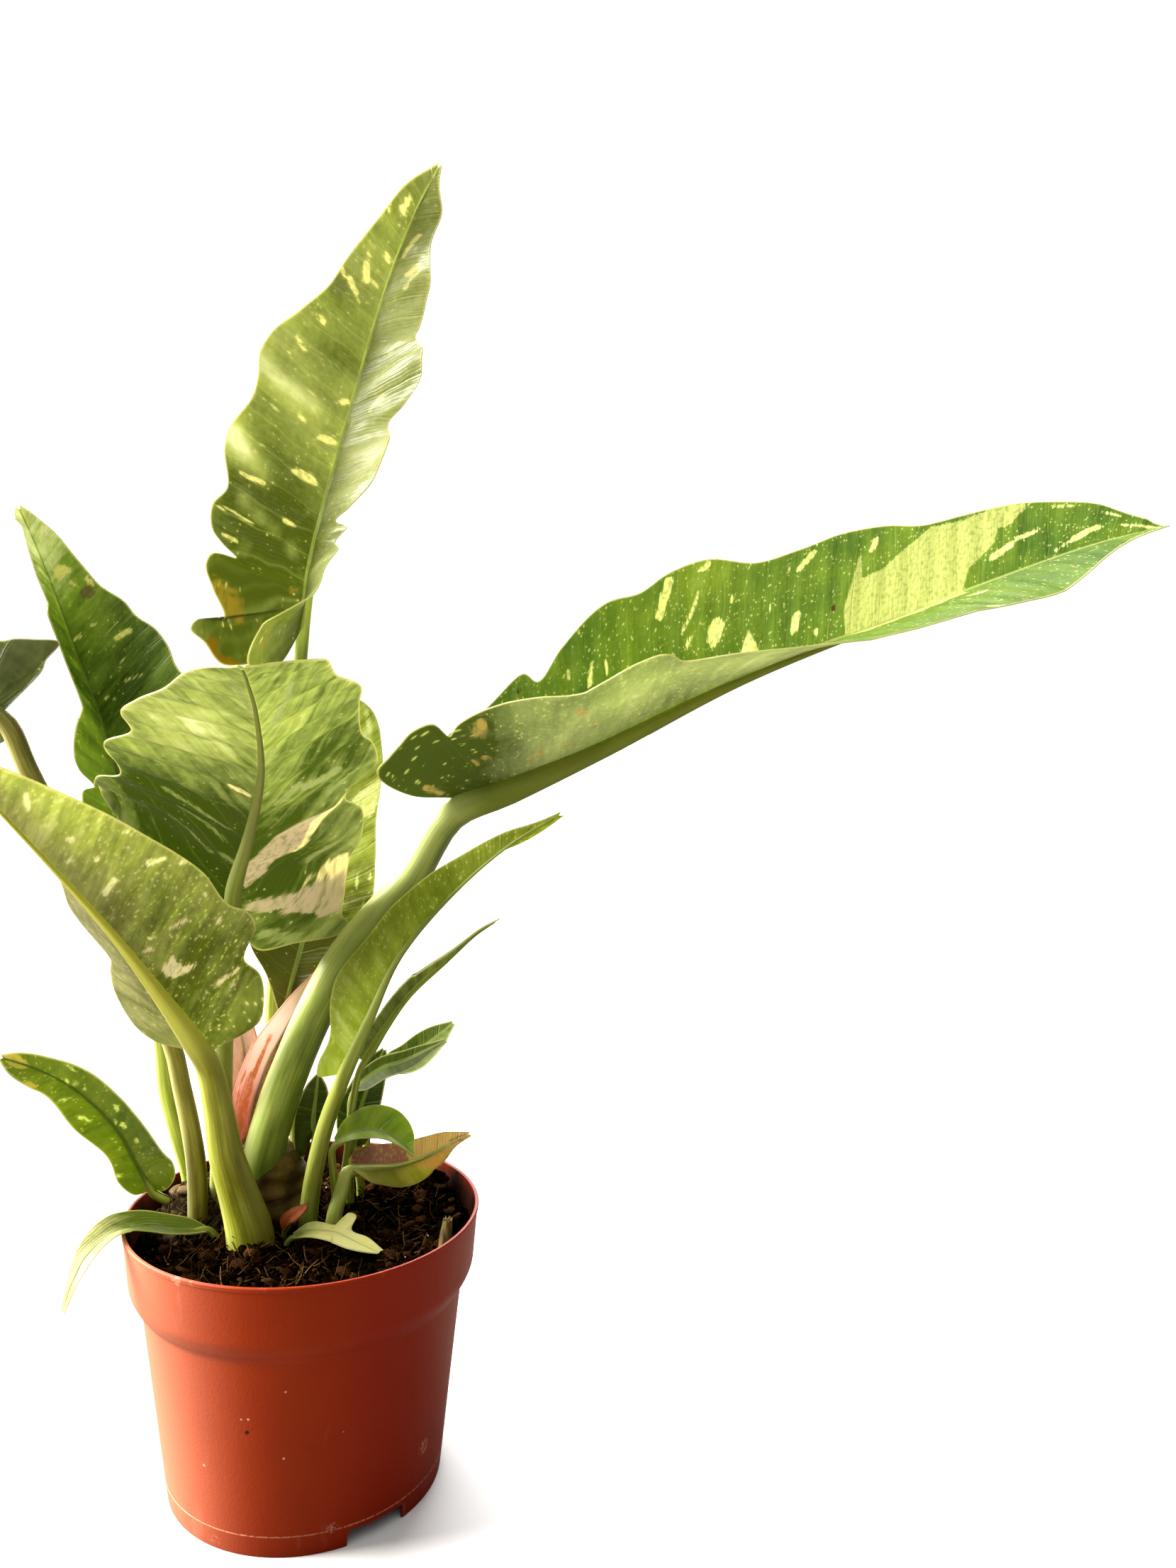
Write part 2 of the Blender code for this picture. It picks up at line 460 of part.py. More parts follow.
def vein_starts(outline, length):
    """Where on the midrib the vein to each point of the outline starts."""
    share, reach = np.array(outline, float).T
    start = np.maximum.accumulate(np.clip(share - VEIN_SLANT * reach / length, 0.0, 1.0))
    steps = np.hypot(np.diff(share) * length, np.diff(reach))
    even = np.concatenate([[0.0], np.cumsum(steps)]) / steps.sum()
    return LAST_VEIN * (start * (1.0 - VEIN_SPREAD) + even * VEIN_SPREAD)


def pair_up(left, right, reach):
    """Give points of the two margins whose veins start close together one start."""
    for i, start in enumerate(left):
        j = int(np.argmin(np.abs(right - start)))
        if abs(right[j] - start) < reach:
            left[i] = right[j]
    return np.maximum.accumulate(left), right


def row_starts(left, right, step):
    """Vein starts of all rows: those of the outlines, and more in the wide gaps."""
    ends = np.union1d(left, right)
    rows = []
    for low, high in zip(ends, ends[1:]):
        count = max(1, math.ceil((high - low) / step - 0.5))
        rows += [low + (high - low) * i / count for i in range(count)]
    return np.array(rows + [ends[-1]])


def margin_at(outline, length, starts, rows):
    """Share and reach of the margin at the end of each row's vein."""
    scaled = np.array([(share * length, reach) for share, reach in outline])
    curve = curve_at(scaled, np.interp(rows, starts, np.arange(len(starts))))
    return curve[:, 0] / length, np.maximum(curve[:, 1], TIP_HALF_WIDTH)


def fold_at(folds, share):
    """Fold angle in radians at shares of the spine."""
    keys = np.array(folds, float)
    return np.radians(np.interp(share, keys[:, 0], keys[:, 1]))


def blade_surface(leaf):
    """Grid of points on the blade: one row for each vein, the midrib in the middle."""
    spine = Spine(leaf)
    left, right = pair_up(vein_starts(leaf.left, spine.length),
                          vein_starts(leaf.right, spine.length), 0.55 / leaf.rows)
    start = row_starts(left, right, 1.0 / leaf.rows)
    vein = start / start[-1]
    columns = leaf.columns
    grid = np.zeros((len(start), 2 * columns + 1, 3))
    grid[:, columns] = spine.at(start)[0]
    height, waves, phase = leaf.ripple
    for side, outline, starts, folds in ((-1, leaf.left, left, leaf.fold_left),
                                         (1, leaf.right, right, leaf.fold_right)):
        share, reach = margin_at(outline, spine.length, starts, start)
        flatter = np.where(share < 0.5, 1.0, np.clip(reach / FULL_FOLD_REACH, 0.0, 1.0))
        for column in range(1, columns + 1):
            out = column / columns
            place_share = start + (share - start) * out
            place, _, face, rightward = spine.at(place_share)
            angle = fold_at(folds, place_share) * flatter
            away = reach * out
            wave = height * out ** 2 * np.sin(math.tau * waves * vein + phase * side)
            wave = wave * np.sin(math.pi * vein) ** 0.5
            across = away * np.cos(angle) - wave * np.sin(angle)
            rise = away * np.sin(angle) + wave * np.cos(angle)
            grid[:, columns + side * column] = (
                place + rightward * (side * across)[:, None] + face * rise[:, None])
    return grid


def grid_triangles(rows, columns):
    """Corner numbers of a grid's triangles, every square split the same way."""
    triangles = []
    for i in range(rows - 1):
        for j in range(columns - 1):
            a = i * columns + j
            b = a + 1
            c = a + columns
            d = c + 1
            if j < (columns - 1) // 2:
                triangles += [(a, b, d), (a, d, c)]
            else:
                triangles += [(a, b, c), (b, d, c)]
    return np.array(triangles)


def point_normals(points, triangles):
    """Area-weighted directions square to the surface at each point."""
    corners = points[triangles]
    face = np.cross(corners[:, 1] - corners[:, 0], corners[:, 2] - corners[:, 0])
    normals = np.zeros_like(points)
    for corner in range(3):
        np.add.at(normals, triangles[:, corner], face)
    return unit(normals)


def make_object(name, points, faces):
    """Mesh object from points in millimetres."""
    mesh = bpy.data.meshes.new(name)
    mesh.from_pydata([tuple(p) for p in np.asarray(points) * MM], [],
                     [tuple(int(i) for i in f) for f in faces])
    mesh.validate()
    made = bpy.data.objects.new(name, mesh)
    bpy.context.scene.collection.objects.link(made)
    return made


def make_blade(leaf):
    """Closed thin shell around the blade's surface, split alike on both faces."""
    grid = blade_surface(leaf)
    rows, columns = grid.shape[:2]
    middle = grid.reshape(-1, 3)
    triangles = grid_triangles(rows, columns)
    normals = point_normals(middle, triangles)
    count = len(middle)
    points = np.vstack([middle + normals * BLADE / 2, middle - normals * BLADE / 2])
    rim = ([j for j in range(columns)]
           + [i * columns + columns - 1 for i in range(1, rows)]
           + [(rows - 1) * columns + j for j in range(columns - 2, -1, -1)]
           + [i * columns for i in range(rows - 2, 0, -1)])
    faces = [tuple(t) for t in triangles]
    faces += [tuple(t[::-1] + count) for t in triangles]
    for a, b in zip(rim, rim[1:] + rim[:1]):
        faces += [(b, a, a + count), (b, a + count, b + count)]
    return make_object(leaf.name, points, faces)


def make_tube(name, path, steps, sides, extra=0.0):
    """Capped tube along x, y, z, radius points, each radius grown by extra."""
    line = along(path, steps)
    centre = line[:, :3]
    radius = line[:, 3] + extra
    forward = unit(np.gradient(centre, axis=0))
    side = unit(np.cross(forward[0], (0.31, 0.95, 0.05)))
    rings = []
    for place, direction, reach in zip(centre, forward, radius):
        side = unit(side - direction * np.dot(side, direction))
        up = np.cross(direction, side)
        angles = np.arange(sides) * math.tau / sides
        rings.append(place + reach * (np.cos(angles)[:, None] * side
                                      + np.sin(angles)[:, None] * up))
    points = np.vstack(rings)
    faces = [tuple(range(sides))[::-1],
             tuple(range(len(points) - sides, len(points)))]
    for i in range(len(rings) - 1):
        for j in range(sides):
            a = i * sides + j
            b = i * sides + (j + 1) % sides
            faces.append((a, b, b + sides, a + sides))
    return make_object(name, points, faces)


def stem_and_rib(leaf):
    """Path of the stem, carried on along the underside of the blade as its midrib."""
    spine = Spine(leaf)
    shares = np.array([0.06, 0.2, 0.4, 0.65])
    place, _, face, _ = spine.at(shares)
    radius = leaf.rib * (1.0 - shares) ** 3 + 0.7
    sunk = place - face * (radius * 0.75)[:, None]
    ribs = [(*p, r) for p, r in zip(sunk, radius)]
    return [tuple(p) for p in leaf.stem] + ribs


def is_closed(mesh):
    """Whether the mesh has faces and each edge joins just two of them."""
    uses = {}
    for polygon in mesh.polygons:
        for key in polygon.edge_keys:
            uses[key] = uses.get(key, 0) + 1
    return bool(uses) and all(count == 2 for count in uses.values())


def combine(target, cutters, operation):
    """Boolean of the target with the cutters, applied, and the cutters removed."""
    group = bpy.data.collections.new("cutters")
    for cutter in cutters:
        bpy.context.scene.collection.objects.unlink(cutter)
        group.objects.link(cutter)
    cut = target.modifiers.new("combine", "BOOLEAN")
    cut.operation = operation
    cut.operand_type = "COLLECTION"
    cut.collection = group
    for solver in ("EXACT", "MANIFOLD"):
        cut.solver = solver
        bpy.context.view_layer.update()
        graph = bpy.context.evaluated_depsgraph_get()
        mesh = bpy.data.meshes.new_from_object(target.evaluated_get(graph))
        if is_closed(mesh):
            break
    target.modifiers.clear()
    target.data = mesh
    for cutter in cutters:
        bpy.data.objects.remove(cutter)
    bpy.data.collections.remove(group)


def stem_tube(leaf, grown=0.0):
    """The stem and midrib as one tube; grown, it cuts the stem's socket."""
    path = stem_and_rib(leaf)
    x, y, z, radius = path[0]
    path[0] = (x, y, z - grown, radius)
    return make_tube("stem", path, STEM_STEPS[leaf.columns], STEM_SIDES[leaf.columns], grown)


def make_leaf(leaf):
    """Blade, midrib and stem joined into one solid."""
    blade = make_blade(leaf)
    combine(blade, [stem_tube(leaf)], "UNION")
    return blade


def pot_outline():
    """Closed radius, height outline of the pot: down the outside, up the inside."""
    outer = [
        (RIM_RADIUS, POT_HEIGHT),
        (BAND_FOOT_RADIUS, BAND_UNDERSIDE),
        (WALL_TOP_RADIUS + 2.6, BAND_CREASE),
        (WALL_TOP_RADIUS, WALL_TOP),
        (FOOT_RADIUS, 0.0),
        (FOOT_RADIUS - POT_WALL, 0.0),
        (FOOT_RADIUS - POT_WALL + 0.6, GUTTER_HEIGHT),
        (PAD_RADIUS + 3.0, GUTTER_HEIGHT),
        (PAD_RADIUS, 0.0),
        (0.0, 0.0),
    ]
    inner = [
        (0.0, POT_WALL),
        (PAD_RADIUS - 1.0, POT_WALL),
        (PAD_RADIUS + 2.0, GUTTER_HEIGHT + POT_WALL),
        (FOOT_RADIUS - POT_WALL + 1.0, GUTTER_HEIGHT + POT_WALL),
        (WALL_TOP_RADIUS - POT_WALL, WALL_TOP),
        (WALL_TOP_RADIUS + 2.6 - POT_WALL, BAND_CREASE),
        (BAND_FOOT_RADIUS - POT_WALL, BAND_UNDERSIDE),
        (RIM_RADIUS - POT_WALL, POT_HEIGHT),
    ]
    return outer + inner


def inner_radius(height):
    """Radius of the pot's inner wall at a height."""
    outline = pot_outline()[-5:]
    return np.interp(height, [z for _, z in outline], [r for r, _ in outline])


def turned(name, outline, closed=True):
    """Solid of revolution. The outline runs down the outside; its ends may lie on the axis."""
    points = []
    rings = []
    for radius, height in outline:
        if radius == 0.0:
            rings.append([len(points)])
            points.append((0.0, 0.0, height))
            continue
        rings.append(list(range(len(points), len(points) + ROUND_SIDES)))
        for i in range(ROUND_SIDES):
            angle = math.tau * i / ROUND_SIDES
            points.append((radius * math.cos(angle), radius * math.sin(angle), height))
    pairs = list(zip(rings, rings[1:]))
    if closed:
        pairs.append((rings[-1], rings[0]))
    faces = []
    for upper, lower in pairs:
        if len(upper) == 1 and len(lower) == 1:
            continue
        for i in range(ROUND_SIDES):
            j = (i + 1) % ROUND_SIDES
            if len(upper) == 1:
                faces.append((upper[0], lower[i], lower[j]))
            elif len(lower) == 1:
                faces.append((upper[i], lower[0], upper[j]))
            else:
                faces.append((upper[i], lower[i], lower[j], upper[j]))
    return make_object(name, points, faces)


def make_pot():
    """Pot with its drain notches in the skirt and holes in the raised gutter."""
    pot = turned("pot", pot_outline())
    cutters = []
    for azimuth in NOTCH_AZIMUTHS:
        angle = math.radians(azimuth)
        out = np.array([math.cos(angle), math.sin(angle), 0.0])
        across = np.array([-math.sin(angle), math.cos(angle), 0.0])
        corners = []
        for height in (-2.0, NOTCH_HEIGHT):
            for radius, half in ((FOOT_RADIUS - 9.0, NOTCH_WIDTH / 2),
                                 (FOOT_RADIUS + 4.0, NOTCH_WIDTH / 2)):
                corners += [out * radius - across * half + (0, 0, height),
                            out * radius + across * half + (0, 0, height)]
        cutters.append(make_object("notch", corners, [
            (0, 1, 3, 2), (4, 6, 7, 5), (0, 2, 6, 4), (1, 5, 7, 3), (0, 4, 5, 1),
            (2, 3, 7, 6)]))
        middle = out * (PAD_RADIUS + 11.0)
        cutters.append(make_tube("drain", [
            (*middle[:2], GUTTER_HEIGHT - 3.0, DRAIN_RADIUS),
            (*middle[:2], GUTTER_HEIGHT + POT_WALL + 3.0, DRAIN_RADIUS)], 1, 12))
    combine(pot, cutters, "DIFFERENCE")
    return pot


def soil_height(x, y):
    """Level of the soil: a low dome with lumps and fine unevenness."""
    radius = math.hypot(x, y)
    level = SOIL_LEVEL + (SOIL_EDGE_LEVEL - SOIL_LEVEL) * (radius / RIM_RADIUS) ** 3
    for lump_x, lump_y, height, spread in SOIL_LUMPS:
        away = ((x - lump_x) ** 2 + (y - lump_y) ** 2) / spread ** 2
        level += height * math.exp(-away)
    uneven = math.sin(0.31 * x + 1.3) * math.cos(0.27 * y - 0.6) + math.sin(0.17 * (x - y))
    return level + 0.7 * uneven


def make_soil():
    """Soil that fills the pot, with an uneven top."""
    edge = inner_radius(SOIL_EDGE_LEVEL) - GAP
    wall_heights = (BAND_UNDERSIDE, BAND_CREASE, WALL_TOP, GUTTER_HEIGHT + POT_WALL + GAP)
    outline = [(0.0, SOIL_LEVEL)]
    outline += [(radius, SOIL_LEVEL) for radius in (12.0, 24.0, 36.0, 48.0, 60.0)]
    outline += [(edge, SOIL_EDGE_LEVEL)]
    outline += [(inner_radius(z) - GAP - 0.1, z) for z in wall_heights]
    outline += [
        (PAD_RADIUS + 2.0 - GAP, GUTTER_HEIGHT + POT_WALL + GAP),
        (PAD_RADIUS - 1.0 - GAP, POT_WALL + GAP),
        (0.0, POT_WALL + GAP),
    ]
    soil = turned("soil", outline, closed=False)
    for point in soil.data.vertices:
        x, y, z = (value / MM for value in point.co)
        radius = math.hypot(x, y)
        if z > SOIL_LEVEL - 0.1:
            fade = min(1.0, (edge - radius) / 8.0)
            level = soil_height(x, y)
            point.co.z = (SOIL_EDGE_LEVEL + (level - SOIL_EDGE_LEVEL) * fade) * MM
    return soil


def crown_points(grown):
    """Rings of the lumpy stem base, each grown outward."""
    heights = np.linspace(CROWN_BOTTOM, CROWN_TOP, 8)
    swell = (0.55, 0.80, 0.96, 1.0, 0.97, 0.90, 0.80, 0.62)
    sides = 14
    rings = []
    for level, (height, wide) in enumerate(zip(heights, swell)):
        for i in range(sides):
            angle = math.tau * i / sides
            lump = 1.0 + 0.05 * math.sin(3 * angle + 1.7 * level)
            rings.append((
                CROWN_CENTRE[0] + (CROWN_HALF[0] * wide * lump + grown) * math.cos(angle),
                CROWN_CENTRE[1] + (CROWN_HALF[1] * wide * lump + grown) * math.sin(angle),
                height + (grown if level == len(swell) - 1 else 0.0)
                - (grown if level == 0 else 0.0)))
    faces = [tuple(range(sides))[::-1], tuple(range(sides * 7, sides * 8))]
    for level in range(7):
        for i in range(sides):
            a = level * sides + i
            b = level * sides + (i + 1) % sides
            faces += [(a, b, b + sides), (a, b + sides, a + sides)]
    return rings, faces


def paint(made, slot):
    """One Principled material for each slot."""
    colour, roughness = MATERIALS[slot]
    material = bpy.data.materials.get(slot) or bpy.data.materials.new(slot)
    material.use_nodes = True
    shader = material.node_tree.nodes["Principled BSDF"]
    shader.inputs["Base Color"].default_value = (*colour, 1.0)
    shader.inputs["Roughness"].default_value = roughness
    made.data.materials.clear()
    made.data.materials.append(material)
    made.data.shade_smooth()
    made.data.set_sharp_from_angle(angle=math.radians(40.0))


def main():
    """Build every piece."""
    for old in list(bpy.data.objects):
        bpy.data.objects.remove(old)
    paint(make_pot(), "pot_terracotta")

    crown = make_object("stem_base", *crown_points(0.0))
    combine(crown, [stem_tube(leaf, SOCKET_GAP) for leaf in LEAVES], "DIFFERENCE")
    paint(crown, "crown_bark")

    soil = make_soil()
    root_hole = [(x, y, z - GAP * (z < 100.0), r) for x, y, z, r in ROOT_STUB]
    combine(soil, [make_object("crown_hole", *crown_points(GAP)),
                   make_tube("root_hole", root_hole, 4, 8, SOCKET_GAP)]
            + [stem_tube(leaf, SOCKET_GAP) for leaf in LEAVES], "DIFFERENCE")
    paint(soil, "soil_dark")

    paint(make_tube("root_stub", ROOT_STUB, 4, 8), "root")
    for leaf in LEAVES:
        paint(make_leaf(leaf), leaf.material)


main()
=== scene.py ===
"""Looks of a ring of fire philodendron in its nursery pot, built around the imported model.

Tables are in millimetres and finished meshes in metres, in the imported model's frame.
Each leaf is grown again from the tables of its midrib, margins and folds, with many more
points, and carries the place of every point along and across its side veins.
"""

import math
from dataclasses import dataclass, field

import bmesh
import bpy
import numpy as np
from mathutils import Matrix


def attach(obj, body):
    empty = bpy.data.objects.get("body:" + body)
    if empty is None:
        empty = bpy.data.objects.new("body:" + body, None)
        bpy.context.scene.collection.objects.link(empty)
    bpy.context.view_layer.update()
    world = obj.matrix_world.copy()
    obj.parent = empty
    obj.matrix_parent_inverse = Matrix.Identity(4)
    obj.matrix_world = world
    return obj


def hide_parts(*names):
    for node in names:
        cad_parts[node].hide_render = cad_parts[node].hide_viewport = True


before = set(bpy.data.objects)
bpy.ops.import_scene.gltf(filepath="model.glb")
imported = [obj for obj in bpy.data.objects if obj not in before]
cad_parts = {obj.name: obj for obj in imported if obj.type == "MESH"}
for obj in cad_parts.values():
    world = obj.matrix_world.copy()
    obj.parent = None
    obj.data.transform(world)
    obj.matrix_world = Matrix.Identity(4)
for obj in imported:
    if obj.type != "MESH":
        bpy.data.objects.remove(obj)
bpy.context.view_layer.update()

MM = 0.001
TO_MM = 1000.0          # for lengths in a material, which are in metres

# Camera and light
IMAGE_HEIGHT = 2212
FOCAL_PIXELS = 1724.7
SENSOR_HEIGHT = 36.0
CAMERA_PLACE = (0.0, -0.5285, 0.3437)       # in metres
CAMERA_YAW, CAMERA_PITCH, CAMERA_ROLL = (math.radians(a) for a in (13.18, 4.53, 0.69))
LIGHT_SIDE = (-0.974, 0.228)        # level direction that the main light comes from

# Pot
RIM_RADIUS = 75.0
POT_HEIGHT = 118.4
POT_WALL = 1.4
WALL_LEAN = 0.083       # outward run of the band for each step up
BAND_FOOT_RADIUS = 72.6
WALL_TOP_RADIUS = 67.6
BAND_UNDERSIDE = 93.2
BAND_CREASE = 88.4
CREASE_RADIUS = WALL_TOP_RADIUS + 2.6
WALL_TOP = 85.2
FOOT_RADIUS = 58.4
GROOVE_HEIGHT = 9.3     # fine mould line above the foot
GUTTER_HEIGHT = 8.0
PAD_RADIUS = 37.0
NOTCH_WIDTH = 26.0
NOTCH_HEIGHT = 7.0
NOTCH_AZIMUTHS = (-62.0, 58.0, 178.0)
DRAIN_RADIUS = 3.6
POT_SIDES = 160

# Wear on the pot: places, and how large each speck or scuff is
POT_NICK = (-22.5, -60.3, 55.2)
POT_SPECKS = (((-24.7, -60.1, 60.6), 0.5), ((-22.0, -61.1, 60.9), 0.6),
              ((-7.9, -65.8, 72.9), 0.55), ((-8.8, -62.6, 44.2), 0.5),
              ((-24.0, -61.0, 58.0), 0.35), ((14.0, -62.3, 52.0), 0.35))
POT_SCUFFS = (((9.9, -58.7, 10.4), 3.0), ((47.5, -38.7, 26.5), 4.5),
              ((-48.2, -57.2, 117.5), 3.0), ((-41.3, -62.6, 118.0), 2.5),
              ((-36.0, -46.5, 3.0), 4.0))

# Soil
SOIL_LEVEL = 104.5
SOIL_EDGE_LEVEL = 102.5
SOIL_RADIUS = 72.2      # at its top, where it meets the band
SOIL_SIDES = 180
SOIL_RINGS = 60
SOIL_BODY = ((70.8, BAND_UNDERSIDE), (68.3, BAND_CREASE), (65.7, WALL_TOP), (57.6, 10.0),
             (38.5, 10.0), (35.5, 2.0), (0.0, 2.0))     # radius and height below the top
SOIL_LUMPS = (
    (-49.0, 28.0, 19.0, 14.0),
    (-30.0, 44.0, 9.0, 14.0),
    (60.0, 27.0, 11.0, 8.0),
    (63.0, 8.0, 7.0, 15.0),
    (52.0, 44.0, 9.0, 16.0),
    (20.0, 62.0, 7.0, 18.0),
    (34.0, -34.0, 3.0, 14.0),
    (-20.0, -42.0, 2.5, 12.0),
    (30.0, 40.0, 4.0, 18.0),
    (-22.0, -20.0, 5.0, 9.0),
)                       # x, y, height, spread
DRY_MOUND = (-50.0, 27.0, 118.0)        # middle of the drier heap at the back left
LITTER_RADIUS = 70.6
LITTER_SIDES = 96
LITTER_RINGS = 34
BIT_SPACING = 0.4       # least distance between the middles of two bits
CLEAR_OF_LITTER = (20.0, -24.0, 11.0)   # x, y and radius, under the leaf on the soil

# Stem base
CROWN_CENTRE = (-17.0, 21.0)
CROWN_HALF = (17.0, 19.0)
CROWN_TOP = 139.0
CROWN_BOTTOM = 92.0
# Share of the height, and share of the full width there
CROWN_SWELL = ((0.0, 0.55), (0.14, 0.80), (0.28, 0.96), (0.43, 1.0), (0.6, 1.0),
               (0.76, 0.99), (0.88, 0.93), (0.95, 0.80), (1.0, 0.5))

# Leaves
BLADE = 0.5             # thickness
TIP_HALF_WIDTH = 0.9
FULL_FOLD_REACH = 7.0   # towards the tip, a blade narrower than this is folded less
VEIN_SLANT = 0.6        # forward run of a side vein for each step outward
VEIN_SPREAD = 0.2       # how evenly the side veins are spread along the midrib
LAST_VEIN = 0.99        # share of the midrib where the last side vein starts
MARGIN_STEP = 1.5       # length of margin between two rows of points
ACROSS_STEP = 2.4       # distance between two points of a row
SPINE_STEPS = 120
# Midrib: share of the spine, and how much of its thickness is left there
MIDRIB = ((0.06, 1.0), (0.2, 1.0), (0.4, 1.0), (0.65, 0.9), (0.85, 0.7), (0.97, 0.5))
STEM_STEPS = 70
STEM_SIDES = 20
FAR_OUTSIDE = -40.0     # depth in a mark, of a point that is nowhere near one
MARK_KINDS = ("pale", "tan", "cream", "spot")       # each lies over those before it


@dataclass
class Leaf:
    """One leaf. Left and right are as seen on its upper face with the tip up."""
    name: str
    slot: str
    stem: list          # x, y, z, radius from the socket up to the blade
    spine: list         # x, y, z along the midrib from blade base to tip
    face: list          # directions that the upper face looks in, base to tip
    left: list          # margin: share of the spine, distance from it
    right: list
    fold_left: list     # share of the spine, degrees that this half is folded up
    fold_right: list
    rib: float = 0.0    # radius of the midrib at the blade base
    ripple: tuple = (0.0, 0.0, 0.0)     # height, waves, phase of the wavy margin


